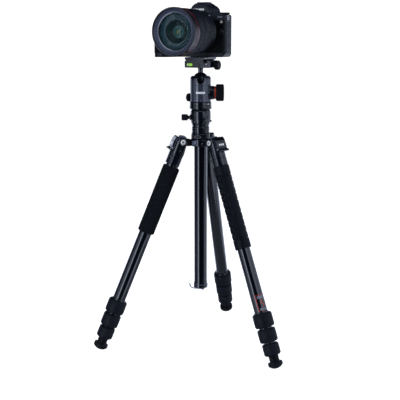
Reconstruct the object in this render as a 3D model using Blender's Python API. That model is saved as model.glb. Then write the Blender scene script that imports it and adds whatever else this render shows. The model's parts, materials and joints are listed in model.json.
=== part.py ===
"""A mirrorless camera with a zoom lens, on a travel tripod with a ball head.

Each physical piece is one object. Lengths are in millimetres, and MM turns them into Blender's
metres. The lens points along -Y, the column stands along Z and the feet stand on Z = 0. At the end
the whole object is moved so that its box stands centred on the origin.
"""

import math

import bmesh
import bpy
from mathutils import Matrix, Vector

MM = 0.001
GAP = 0.3

# ---------------------------------------------------------------- driving dimensions, tripod
LEG_AZIMUTHS = {"rear": 98.4, "left": 218.4, "right": 338.4}
LEG_SPREAD = 22.5
HINGE_RADIUS = 36.3
ARM_HALF_WIDTH = 6.3
CHEEK_OUTER = 12.9
BOLT_HALF_LENGTH = 15.0
LEVER_HALF_WIDTH = 12.4
LEG_LENGTH = 424.0
TUBE_RADII = (12.0, 10.2, 8.5, 6.8)
TUBE_WALL = 1.2
TUBE_TOPS = (26.0, 28.0, 31.0, 34.0)
TUBE_ENDS = (340.0, 367.5, 391.5, 404.5)
LOCK_SPANS = ((322.0, 348.2), (350.6, 375.4), (377.4, 399.7))
LOCK_RADII = (18.0, 16.8, 15.3)
FOOT_TOP = 400.7
FOOT_NECK_RADIUS = 9.3
FOOT_PAD_RADIUS = 13.4
FOOT_DOME = 6.0
FOOT_FLAT = 0.4
DOME_RADIUS = (FOOT_PAD_RADIUS**2 + FOOT_DOME**2) / (2 * FOOT_DOME)
SPREAD = math.radians(LEG_SPREAD)
HINGE_Z = (LEG_LENGTH - DOME_RADIUS) * math.cos(SPREAD) + DOME_RADIUS - FOOT_FLAT

COLUMN_RADIUS = 12.3
COLUMN_WALL = 1.5
COLUMN_BOTTOM = 109.2
GUIDE_BORE = 12.85
HUB_RADIUS = 19.0
HUB_BOTTOM = HINGE_Z - 9.0
HUB_TOP = HINGE_Z + 4.6
NECK_TOP = HINGE_Z + 12.6
COLLAR_TOP = HINGE_Z + 14.6
BLOCK_TOP = HINGE_Z + 59.2

# ---------------------------------------------------------------- driving dimensions, head
HEAD_YAW = 25.0
HEAD_RADIUS = 19.15
HEAD_BASE_TOP = BLOCK_TOP + 13.9
HEAD_TOP = BLOCK_TOP + 61.1
BALL_RADIUS = 14.0
BALL_Z = BLOCK_TOP + 54.4
BALL_SOCKET = 14.6
STEM_RADIUS = 5.3
LOCK_KNOB_Z = BLOCK_TOP + 30.7
PAN_KNOB_Z = BLOCK_TOP + 21.1
CLAMP_BOTTOM = BLOCK_TOP + 76.6
CLAMP_LEFT = -24.0
CLAMP_RIGHT = 27.6
CLAMP_HALF_Y = 18.0
JAW_SPLIT_X = 6.4
PLATE_HALF_X = 19.5
PLATE_HALF_Y = 27.0
PLATE_TOP = CLAMP_BOTTOM + 18.8

# ---------------------------------------------------------------- driving dimensions, camera
BODY_BOTTOM = PLATE_TOP + GAP
BODY_SPLIT_Z = BODY_BOTTOM + 66.4
SHOULDER_Z = BODY_BOTTOM + 77.2
SHOE_Z = BODY_BOTTOM + 98.6
BODY_SPLIT_Y = 20.0
SHELL = 2.2
LENS_Z = BODY_BOTTOM + 45.2
MOUNT_FACE_Y = -3.0
MOUNT_BORE = 27.2
LENS_CLEARANCE = 38.4
SCREEN_HINGE_X = 41.0
SHUTTER_BUTTON_AT = (-62.4, -31.0)
MODE_DIAL_AT = (-46.5, 12.0)
RELEASE_BUTTON_X = 42.0
LENS_BACK_Y = -6.3
LENS_FRONT_Y = -112.0
LENS_RADIUS = 41.5
BODY_RIGHT = 50.5
BODY_LEFT = -77.3
BODY_BACK = 32.0
FRONT_OUTLINE = (
    (BODY_RIGHT, BODY_SPLIT_Y), (BODY_RIGHT, 2), (49.5, -1.5), (46.5, -3), (-37, -3), (-42, -8), (-45.5, -24),
    (-49.5, -38), (-56, -43.5), (-63.5, -45), (-71.4, -43), (-75.8, -37), (BODY_LEFT, -28), (BODY_LEFT, BODY_SPLIT_Y),
)
BACK_CORNERS = (
    (BODY_RIGHT, 25), (48, 30), (43, BODY_BACK), (-66.5, BODY_BACK), (-74.3, 29.5), (BODY_LEFT, 25),
)

SIDES = 20
LENS_SIDES = 28


# ---------------------------------------------------------------- making objects
def clear_scene():
    for obj in list(bpy.data.objects):
        bpy.data.objects.remove(obj, do_unlink=True)


def material(name, colour, roughness, metallic=0.0):
    made = bpy.data.materials.new(name)
    made.use_nodes = True
    shader = made.node_tree.nodes["Principled BSDF"]
    shader.inputs["Base Color"].default_value = (*colour, 1.0)
    shader.inputs["Roughness"].default_value = roughness
    shader.inputs["Metallic"].default_value = metallic
    return made


def empty(name, location=(0, 0, 0), rotation=None, parent=None):
    """An empty at a joint or a sub-assembly's origin, in its parent's frame."""
    made = bpy.data.objects.new(name, None)
    bpy.context.scene.collection.objects.link(made)
    made.parent = parent
    turn = rotation.to_4x4() if rotation else Matrix.Identity(4)
    made.matrix_local = Matrix.Translation(Vector(location) * MM) @ turn
    return made


def piece(name, bm, parent, finish, turn=None):
    """Turns a bmesh in millimetres into an object, after turning it by a matrix."""
    if turn:
        bm.transform(turn)
    bm.transform(Matrix.Scale(MM, 4))
    bmesh.ops.recalc_face_normals(bm, faces=bm.faces)
    mesh = bpy.data.meshes.new(name)
    bm.to_mesh(mesh)
    bm.free()
    mesh.shade_smooth()
    mesh.set_sharp_from_angle(angle=math.radians(35))
    mesh.materials.append(finish)
    made = bpy.data.objects.new(name, mesh)
    bpy.context.scene.collection.objects.link(made)
    made.parent = parent
    return made


def turned(profile, sides=SIDES):
    """A solid turned round Z from (radius, height) points. A profile that doesn't touch the axis is
    a closed loop, as of a ring."""
    bm = bmesh.new()
    rings = []
    for radius, height in profile:
        if radius == 0:
            rings.append([bm.verts.new((0, 0, height))])
            continue
        angles = [2 * math.pi * k / sides for k in range(sides)]
        rings.append([bm.verts.new((radius * math.cos(a), radius * math.sin(a), height)) for a in angles])
    open_ended = len(rings[0]) == 1
    pairs = list(zip(rings, rings[1:] if open_ended else rings[1:] + rings[:1]))
    for low, high in pairs:
        for k in range(sides):
            corners = [low[k % len(low)], low[(k + 1) % len(low)]]
            corners += [high[(k + 1) % len(high)], high[k % len(high)]]
            bm.faces.new(list(dict.fromkeys(corners)))
    return bm


def lofted(sections):
    """A solid through sections of equally many 3-D points, closed at both ends."""
    bm = bmesh.new()
    rings = [[bm.verts.new(p) for p in section] for section in sections]
    count = len(rings[0])
    for low, high in zip(rings, rings[1:]):
        for k in range(count):
            bm.faces.new((low[k], low[(k + 1) % count], high[(k + 1) % count], high[k]))
    bm.faces.new(rings[0])
    bm.faces.new(rings[-1])
    return bm


def prism(outline, low, high):
    """An outline in X and Y, from one height to another."""
    return lofted([[(x, y, z) for x, y in outline] for z in (low, high)])


def side_prism(outline, low, high):
    """An outline in X and Z, from one Y to another."""
    return lofted([[(x, y, z) for x, z in outline] for y in (low, high)])


def block(low, high, bevel=0.0):
    """A box between two corners, with its edges bevelled."""
    bm = bmesh.new()
    bmesh.ops.create_cube(bm, size=1)
    size = Vector(high) - Vector(low)
    bm.transform(Matrix.Translation((Vector(low) + Vector(high)) / 2) @ Matrix.Diagonal((*size, 1)))
    if bevel:
        bmesh.ops.bevel(bm, geom=bm.edges[:], offset=bevel, segments=1, affect="EDGES")
    return bm


def arc(centre, radius, start, end, steps):
    """Points on an arc, in degrees."""
    angles = [math.radians(start + (end - start) * k / steps) for k in range(steps + 1)]
    return [(centre[0] + radius * math.cos(a), centre[1] + radius * math.sin(a)) for a in angles]


def inset(outline, distance):
    """The outline moved inwards. Its points run anticlockwise or clockwise, without crossings."""
    area = sum(a[0] * b[1] - b[0] * a[1] for a, b in zip(outline, outline[1:] + outline[:1]))
    inward = 1 if area > 0 else -1
    made = []
    for k, here in enumerate(outline):
        before, after = Vector(outline[k - 1]), Vector(outline[(k + 1) % len(outline)])
        first = (Vector(here) - before).normalized()
        second = (after - Vector(here)).normalized()
        normal = Vector((-first.y - second.y, first.x + second.x)).normalized() * inward
        reach = distance / max(0.5, normal.dot(Vector((-first.y, first.x)) * inward))
        made.append(tuple(Vector(here) + normal * reach))
    return made


def combine(target, operation, *others):
    """Booleans that join or cut the target with helper objects, which aren't part of the model."""
    for other in others:
        other.hide_render = True
        other.display_type = "WIRE"
        change = target.modifiers.new(f"{operation}_{other.name}", "BOOLEAN")
        change.operation = operation
        change.solver = "EXACT"
        change.object = other
    return target


ALONG_X = Matrix.Rotation(math.radians(90), 4, "Y")
ALONG_Y = Matrix.Rotation(math.radians(-90), 4, "X")


# ---------------------------------------------------------------- tripod
def make_spider(root, alloy):
    """The casting that the three legs hinge on, with its arms and hinge bolts."""
    ring = ((GUIDE_BORE, HUB_BOTTOM), (HUB_RADIUS, HUB_BOTTOM), (HUB_RADIUS, HUB_TOP))
    neck = ((14.5, HUB_TOP), (14.5, NECK_TOP), (GUIDE_BORE, NECK_TOP))
    spider = piece("spider_casting", turned(ring + neck), root, alloy)
    boss = arc((HINGE_RADIUS, HINGE_Z), 7.5, -100, 100, 6)
    arm_side = [(13.5, HUB_BOTTOM + 0.9), *boss, (13.5, HUB_TOP - 0.7)]
    end, seat = BOLT_HALF_LENGTH, CHEEK_OUTER + GAP
    shank = ((0, -end), (5.9, -end), (5.9, -seat), (3.0, -seat), (3.0, seat), (5.9, seat), (5.9, end), (0, end))
    for name, azimuth in LEG_AZIMUTHS.items():
        turn = Matrix.Rotation(math.radians(azimuth), 4, "Z")
        arm = side_prism(arm_side, -ARM_HALF_WIDTH, ARM_HALF_WIDTH)
        combine(spider, "UNION", piece(f"{name}_arm", arm, root, alloy, turn))
        place = Matrix.Translation((HINGE_RADIUS, 0, HINGE_Z)) @ ALONG_Y
        bolt = piece(f"{name}_hinge_bolt", turned(shank, 12), root, alloy, turn @ place)
        combine(spider, "UNION", bolt)
    return spider


def make_leg(name, azimuth, root, finishes):
    """One leg along -Z of an empty on its hinge: bracket and outer tube, lever, three inner tubes,
    three twist locks and the foot."""
    rotation = Matrix.Rotation(math.radians(azimuth), 3, "Z") @ Matrix.Rotation(-SPREAD, 3, "Y")
    spot = Matrix.Rotation(math.radians(azimuth), 3, "Z") @ Vector((HINGE_RADIUS, 0, HINGE_Z))
    leg = empty(f"{name}_leg_hinge", spot, rotation, root)
    metal, grip, rubber = finishes

    outer, wall = TUBE_RADII[0], TUBE_WALL
    socket = ((0, -15), (12.8, -15), (12.8, -24.6), (outer, -25.4))
    bore = ((outer, -TUBE_ENDS[0]), (outer - wall, -TUBE_ENDS[0]), (outer - wall, -TUBE_TOPS[0]), (0, -TUBE_TOPS[0]))
    upper = piece(f"{name}_leg_upper", turned(socket + bore), leg, metal)
    cheek_side = [*arc((0, 0), 8.6, 0, 180, 8), (-11.0, -19), (11.0, -19)]
    for side in (-1, 1):
        low, high = sorted((side * (ARM_HALF_WIDTH + 0.5), side * CHEEK_OUTER))
        combine(upper, "UNION", piece(f"{name}_cheek_{side}", side_prism(cheek_side, low, high), leg, metal))
    hole = turned(((0, -15), (3.6, -15), (3.6, 15), (0, 15)), 12)
    combine(upper, "DIFFERENCE", piece(f"{name}_bolt_hole", hole, leg, metal, ALONG_Y))

    barrel = arc((14.6, 2.0), 1.7, -17, 205, 6)
    lever = [*barrel, (13.2, -21.0), (21.2, -21.0), (21.2, -18.6), (16.2, -17.6)]
    piece(f"{name}_angle_lever", side_prism(lever, -LEVER_HALF_WIDTH, LEVER_HALF_WIDTH), leg, metal)

    for k in (1, 2, 3):
        radius = TUBE_RADII[k]
        inner = radius - TUBE_WALL
        low, high = -TUBE_ENDS[k], -TUBE_TOPS[k]
        tube = ((inner, low), (radius, low), (radius, high), (inner, high))
        piece(f"{name}_leg_tube_{k + 1}", turned(tube, 16), leg, metal)
    for k, ((top, bottom), radius) in enumerate(zip(LOCK_SPANS, LOCK_RADII)):
        wide = TUBE_RADII[k] + 0.45
        narrow = TUBE_RADII[k + 1] + 0.45
        step = TUBE_ENDS[k] + 0.6
        inside = ((wide, -top), (wide, -step), (narrow, -step), (narrow, -bottom))
        outside = ((radius - 2, -bottom), (radius, -bottom + 2.5), (radius, -top - 2.5), (radius - 1.8, -top))
        piece(f"{name}_twist_lock_{k + 1}", turned(inside + outside), leg, grip)

    socket_radius = TUBE_RADII[3] + 0.45
    socket_end = TUBE_ENDS[3] + 0.4
    neck_end = LEG_LENGTH - FOOT_DOME - 6.5
    outline = [(0, -socket_end), (socket_radius, -socket_end), (socket_radius, -FOOT_TOP)]
    outline += [(FOOT_NECK_RADIUS, -FOOT_TOP), (FOOT_NECK_RADIUS, -neck_end), (FOOT_PAD_RADIUS, -neck_end - 0.8)]
    edge = math.degrees(math.asin(FOOT_PAD_RADIUS / DOME_RADIUS))
    dome = arc((0, -LEG_LENGTH + DOME_RADIUS), DOME_RADIUS, edge - 90, -90, 5)
    outline += [(radius, height) for radius, height in dome[:-1]] + [(0, -LEG_LENGTH)]
    foot = turned(outline, 20)
    down = Vector((-math.sin(SPREAD), 0, -math.cos(SPREAD)))
    ground = down * HINGE_Z
    geometry = foot.verts[:] + foot.edges[:] + foot.faces[:]
    bmesh.ops.bisect_plane(foot, geom=geometry, plane_co=ground, plane_no=down, clear_outer=True)
    bmesh.ops.holes_fill(foot, edges=[e for e in foot.edges if e.is_boundary])
    piece(f"{name}_foot", foot, leg, rubber)
    return leg


def make_grips(legs, foam, rubber):
    """The foam sleeve of one leg and the moulded rubber sleeve of another."""
    bore = TUBE_RADII[0] + 0.45
    sleeve = ((bore, -50), (14.6, -50), (16.0, -51.5), (16.0, -181.5), (14.6, -183), (bore, -183))
    piece("foam_grip", turned(sleeve), legs["left"], foam)
    bands = ((bore, -46), (15.2, -46), (15.2, -63), (14.3, -63.5), (14.3, -183.5), (15.2, -184))
    piece("rubber_grip", turned(bands + ((15.2, -202), (bore, -202))), legs["right"], rubber)


def make_column(root, metal, grip, steel):
    """The centre column with its end cap, the block on its top, and what locks and hangs on it."""
    collar = ((14.95, HUB_TOP + GAP), (17.5, HUB_TOP + GAP), (17.5, COLLAR_TOP - 1), (16.8, COLLAR_TOP))
    flange = ((GUIDE_BORE, COLLAR_TOP), (GUIDE_BORE, NECK_TOP + 0.4), (14.95, NECK_TOP + 0.4))
    piece("column_twist_collar", turned(collar + flange), root, grip)

    inner = COLUMN_RADIUS - COLUMN_WALL
    top = BLOCK_TOP - 6
    cap = ((0, COLUMN_BOTTOM), (12.6, COLUMN_BOTTOM), (13.6, COLUMN_BOTTOM + 1), (13.6, COLUMN_BOTTOM + 7.6))
    tube = ((COLUMN_RADIUS, COLUMN_BOTTOM + 8), (COLUMN_RADIUS, top), (inner, top), (inner, COLUMN_BOTTOM + 12))
    column = piece("centre_column", turned(cap + tube + ((0, COLUMN_BOTTOM + 12),)), root, metal)
    for side, low in (("a", -4.6), ("b", 2.2)):
        ear = block((2.6, low, COLUMN_BOTTOM - 4.8), (9.0, low + 2.4, COLUMN_BOTTOM + 1))
        combine(column, "UNION", piece(f"hook_ear_{side}", ear, root, metal))

    pivot = (5.8, COLUMN_BOTTOM - 2.6)
    outer_edge = [pivot, (-12, COLUMN_BOTTOM - 5.2), (-19.5, COLUMN_BOTTOM - 4.6), (-23.4, COLUMN_BOTTOM - 1)]
    outer_edge += [(-24.2, COLUMN_BOTTOM + 4.2)]
    thick = 2.0
    inner_edge = [(-22.2, COLUMN_BOTTOM + 4.4), (-21.4, COLUMN_BOTTOM), (-18.8, COLUMN_BOTTOM - 2.6)]
    inner_edge += [(-12, COLUMN_BOTTOM - 3.0), (pivot[0], pivot[1] + thick)]
    hook = piece("ballast_hook", side_prism(outer_edge + inner_edge, -1.1, 1.1), root, steel)
    eye = turned(((0, -1.9), (1.7, -1.9), (1.7, 1.9), (0, 1.9)), 12)
    place = Matrix.Translation((pivot[0], 0, pivot[1] + 0.6)) @ ALONG_Y
    combine(hook, "UNION", piece("hook_eye", eye, root, steel, place))

    upright = Matrix.Rotation(math.radians(HEAD_YAW), 4, "Z")
    low = COLLAR_TOP + 0.4
    bore = COLUMN_RADIUS + 0.45
    skin = ((16.4, low), (16.4, low + 12), (15.3, low + 13), (17.6, low + 20), (19.0, low + 28))
    skin += ((18.9, low + 39), (17.6, BLOCK_TOP), (0, BLOCK_TOP))
    blind = ((0, top + 0.5), (bore, top + 0.5), (bore, low))
    housing = piece("column_block", turned(blind + skin), root, metal)
    boss = turned(((0, -20.4), (5.0, -20.4), (5.0, -14), (0, -14)), 16)
    place = upright @ Matrix.Translation((0, 0, HINGE_Z + 44.2)) @ ALONG_X
    combine(housing, "UNION", piece("lock_knob_boss", boss, root, metal, place))
    knob = ((0, -35.5), (5.2, -35.5), (5.9, -34.5), (5.9, -24.5), (3.4, -23.2), (3.4, -20.8), (0, -20.8))
    piece("column_lock_knob", turned(knob, 16), root, grip, place)


# ---------------------------------------------------------------- ball head and clamp
def make_head(root, metal, grip):
    """The pan base, the ball housing with its drop notch, the ball on its stem and two knobs."""
    low = BLOCK_TOP + 0.4
    mid = low + 7.0
    base = ((0, low), (19.0, low), (20.4, low + 1), (20.4, mid), (19.6, mid + 0.5), (19.9, mid + 1))
    piece("head_pan_base", turned(base + ((19.9, HEAD_BASE_TOP), (0, HEAD_BASE_TOP))), root, metal)

    head = empty("head_pan_axis", (0, 0, 0), Matrix.Rotation(math.radians(HEAD_YAW), 3, "Z"), root)
    floor = HEAD_BASE_TOP + 0.4
    rim = math.degrees(math.asin((HEAD_TOP - BALL_Z) / BALL_SOCKET))
    socket = arc((0, BALL_Z), BALL_SOCKET, rim, -90, 8)
    body = [(0, floor), (HEAD_RADIUS, floor), (HEAD_RADIUS, HEAD_TOP - 1), (HEAD_RADIUS - 1, HEAD_TOP)]
    body += [(radius, height) for radius, height in socket[:-1]] + [(0, BALL_Z - BALL_SOCKET)]
    housing = piece("head_body", turned(body), head, metal)
    boss = turned(((0, 16), (12.4, 16), (12.4, 23.8), (0, 23.8)))
    place = Matrix.Translation((0, 0, LOCK_KNOB_Z)) @ ALONG_X
    combine(housing, "UNION", piece("ball_knob_boss", boss, head, metal, place))
    notch = [*arc((0, BALL_Z - 0.6), 6.9, 180, 360, 8), (6.9, HEAD_TOP + 5), (-6.9, HEAD_TOP + 5)]
    combine(housing, "DIFFERENCE", piece("drop_notch", side_prism(notch, -25, -3), head, metal))

    knob = ((0, 24.2), (11.5, 24.2), (11.5, 28.0), (15.0, 28.2), (15.7, 29.2), (15.7, 42.2), (14.6, 43.2))
    piece("ball_lock_knob", turned(knob + ((0, 43.2),)), head, grip, place)
    small = ((0, 19.5), (4.2, 19.5), (4.2, 21.6), (7.7, 21.8), (7.7, 27.0), (7.0, 27.8), (0, 27.8))
    swing = Matrix.Rotation(math.radians(150), 4, "Z")
    place = Matrix.Translation((0, 0, PAN_KNOB_Z)) @ swing @ ALONG_X
    piece("pan_lock_knob", turned(small, 16), head, grip, place)

    ball = empty("ball_centre", (0, 0, BALL_Z), None, head)
    neck = math.degrees(math.acos(STEM_RADIUS / BALL_RADIUS))
    round_part = arc((0, 0), BALL_RADIUS, -90, neck, 12)
    stem_top = CLAMP_BOTTOM - GAP - BALL_Z
    outline = [(0, -BALL_RADIUS), *round_part[1:], (STEM_RADIUS, stem_top), (0, stem_top)]
    piece("ball_stem", turned(outline, 20), ball, metal)


def make_clamp(root, metal, grip):
    """The screw-knob clamp on the ball's stem and the dovetail plate that it holds."""
    low = CLAMP_BOTTOM
    floor, lip = low + 8.7, low + 13.0
    lip_face = ((19.2, floor), (19.2, floor + 1), (16.2, lip - 0.3), (17.5, lip))
    split = JAW_SPLIT_X
    fixed = [(-x, z) for x, z in lip_face] + [(CLAMP_LEFT, lip), (CLAMP_LEFT, low)]
    fixed += [(split - 0.2, low), (split - 0.2, floor)]
    piece("clamp_body", side_prism(fixed, -CLAMP_HALF_Y, CLAMP_HALF_Y), root, metal)
    moving = [*lip_face, (CLAMP_RIGHT, lip), (CLAMP_RIGHT, low), (split + 0.2, low), (split + 0.2, floor)]
    piece("clamp_jaw", side_prism(moving, -CLAMP_HALF_Y, CLAMP_HALF_Y), root, metal)
    knob = ((0, 0.3), (4.0, 0.3), (4.0, 1.6), (7.8, 1.8), (8.5, 2.6), (8.5, 9.4), (7.6, 10.4), (0, 10.4))
    place = Matrix.Translation((CLAMP_RIGHT, 0, low + 4.8)) @ ALONG_X
    piece("clamp_knob", turned(knob, 20), root, grip, place)
    half = [(PLATE_HALF_X, PLATE_TOP), (PLATE_HALF_X, PLATE_TOP - 3.4), (15.8, PLATE_TOP - 5.8)]
    half += [(15.8, PLATE_TOP - 6.2), (18.9, PLATE_TOP - 9.2), (18.9, floor + GAP)]
    outline = half + [(-x, z) for x, z in reversed(half)]
    piece("quick_release_plate", side_prism(outline, -PLATE_HALF_Y, PLATE_HALF_Y), root, metal)


# ---------------------------------------------------------------- camera body
def make_camera_body(root, shell, grip, dark):
    """Front, back and top covers, what moves on them, and the battery and sensor inside."""
    floor = BODY_BOTTOM + SHELL
    front = piece("camera_front_body", prism(FRONT_OUTLINE, BODY_BOTTOM, BODY_SPLIT_Z), root, shell)
    hollow = inset(list(FRONT_OUTLINE), SHELL)
    hollow = [(x, y if y < BODY_SPLIT_Y - SHELL - 1 else BODY_SPLIT_Y + 5) for x, y in hollow]
    combine(front, "DIFFERENCE", piece("front_hollow", prism(hollow, floor, BODY_SPLIT_Z + 5), root, shell))
    throat = turned(((0, -12), (MOUNT_BORE, -12), (MOUNT_BORE, 8), (0, 8)), LENS_SIDES)
    axis = Matrix.Translation((0, 0, LENS_Z)) @ ALONG_Y
    combine(front, "DIFFERENCE", piece("mount_throat", throat, root, shell, axis))
    bay = block((-73.2, -34.2, BODY_BOTTOM - 3), (-51.8, 6.2, BODY_BOTTOM + 4))
    combine(front, "DIFFERENCE", piece("battery_bay", bay, root, shell))
    door = block((-72.8, -33.8, BODY_BOTTOM), (-52.2, 5.8, BODY_BOTTOM + 1.9))
    piece("battery_door", door, root, shell)
    piece("battery", block((-71.9, -32.5, BODY_BOTTOM + 3), (-52.7, 4.5, BODY_BOTTOM + 59), 1.0), root, dark)

    outline = [(BODY_LEFT, BODY_SPLIT_Y + GAP), (BODY_RIGHT, BODY_SPLIT_Y + GAP), *BACK_CORNERS]
    back = piece("camera_back_cover", prism(outline, BODY_BOTTOM, BODY_SPLIT_Z), root, shell)
    hollow = inset(outline, SHELL)
    hollow = [(x, y if y > BODY_SPLIT_Y + SHELL + 1 else BODY_SPLIT_Y - 5) for x, y in hollow]
    combine(back, "DIFFERENCE", piece("back_hollow", prism(hollow, floor, BODY_SPLIT_Z + 5), root, shell))
    low = (SCREEN_HINGE_X - 78.0, BODY_BACK + 0.4, BODY_BOTTOM + 8)
    screen = block(low, (SCREEN_HINGE_X, BODY_BACK + 5.6, BODY_BOTTOM + 59), 0.8)
    piece("camera_screen", screen, root, dark)

    around = [*FRONT_OUTLINE, *reversed(BACK_CORNERS)]
    low = BODY_SPLIT_Z + GAP
    top = piece("camera_top_cover", prism(around, low, SHOULDER_Z), root, shell)
    hump = []
    for height, front_half, front_y, back_half, back_y in (
        (SHOULDER_Z - 3, 19.0, -8.5, 26.5, 35.0),
        (SHOULDER_Z + 2, 18.0, -8.5, 25.5, 36.0),
        (BODY_BOTTOM + 87.5, 14.5, -8.0, 23.0, 36.0),
        (BODY_BOTTOM + 92.6, 12.0, -5.5, 17.5, 33.5),
        (SHOE_Z - 2.4, 10.5, 2.5, 11.5, 31.0),
        (SHOE_Z, 10.0, 5.0, 10.0, 28.0),
    ):
        corners = ((front_half, front_y), (back_half, back_y), (-back_half, back_y), (-front_half, front_y))
        hump.append([(x, y, height) for x, y in corners])
    combine(top, "UNION", piece("finder_hump", lofted(hump), root, shell))
    hollow = inset(around, SHELL)
    combine(top, "DIFFERENCE", piece("top_hollow", prism(hollow, low - 5, SHOULDER_Z - SHELL), root, shell))
    steps = ((0, -40), (LENS_CLEARANCE, -40), (LENS_CLEARANCE, MOUNT_FACE_Y), (MOUNT_BORE, MOUNT_FACE_Y))
    recess = turned(steps + ((MOUNT_BORE, 8), (0, 8)), LENS_SIDES)
    combine(top, "DIFFERENCE", piece("lens_recess", recess, root, shell, axis))

    button_spot = Matrix.Translation((*SHUTTER_BUTTON_AT, SHOULDER_Z))
    well = turned(((0, -1.6), (5.8, -1.6), (5.8, 5), (0, 5)), 16)
    combine(top, "DIFFERENCE", piece("shutter_button_well", well, root, shell, button_spot))
    button = turned(((0, -0.2), (5.2, -0.2), (5.2, 2.0), (4.2, 2.6), (0, 2.6)), 16)
    piece("shutter_button", button, root, dark, button_spot)
    dial = turned(((0, SHOULDER_Z + GAP), (11, SHOULDER_Z + GAP), (11, SHOULDER_Z + 7), (10, SHOULDER_Z + 8), (0, SHOULDER_Z + 8)))
    piece("mode_dial", dial, root, dark, Matrix.Translation((*MODE_DIAL_AT, 0)))

    sensor = block((-22, 12, LENS_Z - 17), (22, 16.5, LENS_Z + 17), 0.8)
    piece("image_sensor", sensor, root, dark)
    ring = ((MOUNT_BORE, 3.3), (32.6, 3.3), (32.6, 5.4), (31.8, 6.0), (MOUNT_BORE, 6.0))
    flip = Matrix.Translation((0, 0, LENS_Z)) @ Matrix.Rotation(math.radians(90), 4, "X")
    piece("lens_mount_ring", turned(ring, LENS_SIDES), root, grip, flip)
    beside = Matrix.Translation((RELEASE_BUTTON_X, 0, 0)) @ flip
    well = turned(((0, 1.4), (4.2, 1.4), (4.2, 8), (0, 8)), 12)
    combine(front, "DIFFERENCE", piece("release_button_well", well, root, shell, beside))
    button = turned(((0, 2.9), (3.7, 2.9), (3.7, 4.6), (3.0, 5.2), (0, 5.2)), 12)
    piece("lens_release_button", button, root, dark, beside)


# ---------------------------------------------------------------- lens
def make_lens(root, shell, rubber, glass):
    """A zoom lens turned round -Y: radii against the distance in front of the column's axis."""
    flip = Matrix.Translation((0, 0, LENS_Z)) @ Matrix.Rotation(math.radians(90), 4, "X")
    back, front = -LENS_BACK_Y, -LENS_FRONT_Y
    fixed = ((30.0, back), (33.0, back), (35.5, back + 2.5), (37.6, back + 8), (39.0, back + 27), (36.0, back + 27))
    fixed += ((36.0, front - 24), (40.4, front - 24), (40.9, front - 13.2), (34.5, front - 13.2), (34.5, back + 10))
    fixed += ((30.0, back + 10),)
    piece("lens_fixed_barrel", turned(fixed, LENS_SIDES), root, shell, flip)
    low = back + 27.4
    zoom = ((36.5, low), (39.6, low), (40.4, low + 1), (40.4, low + 29), (39.6, low + 30), (36.5, low + 30))
    piece("lens_zoom_ring", turned(zoom, LENS_SIDES), root, rubber, flip)
    low += 30.4
    high = front - 24.4
    focus = ((36.5, low), (39.8, low), (40.7, low + 1), (40.7, high - 1), (39.8, high), (36.5, high))
    piece("lens_focus_ring", turned(focus, LENS_SIDES), root, rubber, flip)
    barrel = ((31.6, front - 60), (34.0, front - 60), (34.0, front - 12.8), (40.2, front - 12.8))
    rim = ((LENS_RADIUS, front - 11.5), (LENS_RADIUS, front - 1), (40.6, front), (38.6, front), (38.0, front - 5))
    seat = ((34.0, front - 7.0), (34.0, front - 11.0), (31.6, front - 11.0))
    piece("lens_extension_barrel", turned(barrel + rim + seat, LENS_SIDES), root, shell, flip)
    bulge = ((0, front - 10.6), (33.6, front - 10.6), (33.6, front - 8.2), (24.0, front - 6.0), (12.0, front - 4.9))
    piece("lens_front_element", turned(bulge + ((0, front - 4.5),), LENS_SIDES), root, glass, flip)


# ---------------------------------------------------------------- assembly
def stand_on_origin(root):
    """Moves the root so that the model's box stands on Z = 0, centred on the origin."""
    bpy.context.view_layer.update()
    graph = bpy.context.evaluated_depsgraph_get()
    points = []
    for obj in bpy.data.objects:
        if obj.type == "MESH" and not obj.hide_render:
            shown = obj.evaluated_get(graph)
            points += [shown.matrix_world @ vertex.co for vertex in shown.data.vertices]
    low = [min(p[k] for p in points) for k in range(3)]
    high = [max(p[k] for p in points) for k in range(3)]
    root.location = (-(low[0] + high[0]) / 2, -(low[1] + high[1]) / 2, -low[2])
    bpy.context.view_layer.update()


def main():
    clear_scene()
    metal = material("black_anodised_alloy", (0.030, 0.033, 0.042), 0.32, 0.6)
    cast = material("black_cast_alloy", (0.022, 0.024, 0.030), 0.42, 0.3)
    grip = material("ribbed_rubber", (0.018, 0.019, 0.024), 0.70)
    foam = material("black_foam", (0.010, 0.010, 0.012), 0.95)
    steel = material("bright_steel", (0.62, 0.63, 0.65), 0.25, 1.0)
    shell = material("camera_polycarbonate", (0.016, 0.017, 0.022), 0.50)
    dark = material("black_plastic", (0.012, 0.012, 0.015), 0.40)
    glass = material("coated_glass", (0.02, 0.06, 0.06), 0.05)

    root = empty("camera_on_tripod")
    make_spider(root, cast)
    legs = {name: make_leg(name, azimuth, root, (metal, grip, grip)) for name, azimuth in LEG_AZIMUTHS.items()}
    make_grips(legs, foam, grip)
    make_column(root, metal, grip, steel)
    make_head(root, metal, grip)
    make_clamp(root, metal, grip)
    make_camera_body(root, shell, steel, dark)
    make_lens(root, shell, grip, glass)
    stand_on_origin(root)


main()
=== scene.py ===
"""Looks of a mirrorless camera on a travel tripod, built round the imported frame.

Every piece is modelled in millimetres in the local frame of the sub-assembly that it belongs to: a
leg, the column, the ball head, the clamp or the camera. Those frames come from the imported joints,
and the levels along them come from the CAD nodes' boxes.
"""

import json
import math

import bmesh
import bpy
from mathutils import Matrix, Vector, noise


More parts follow.
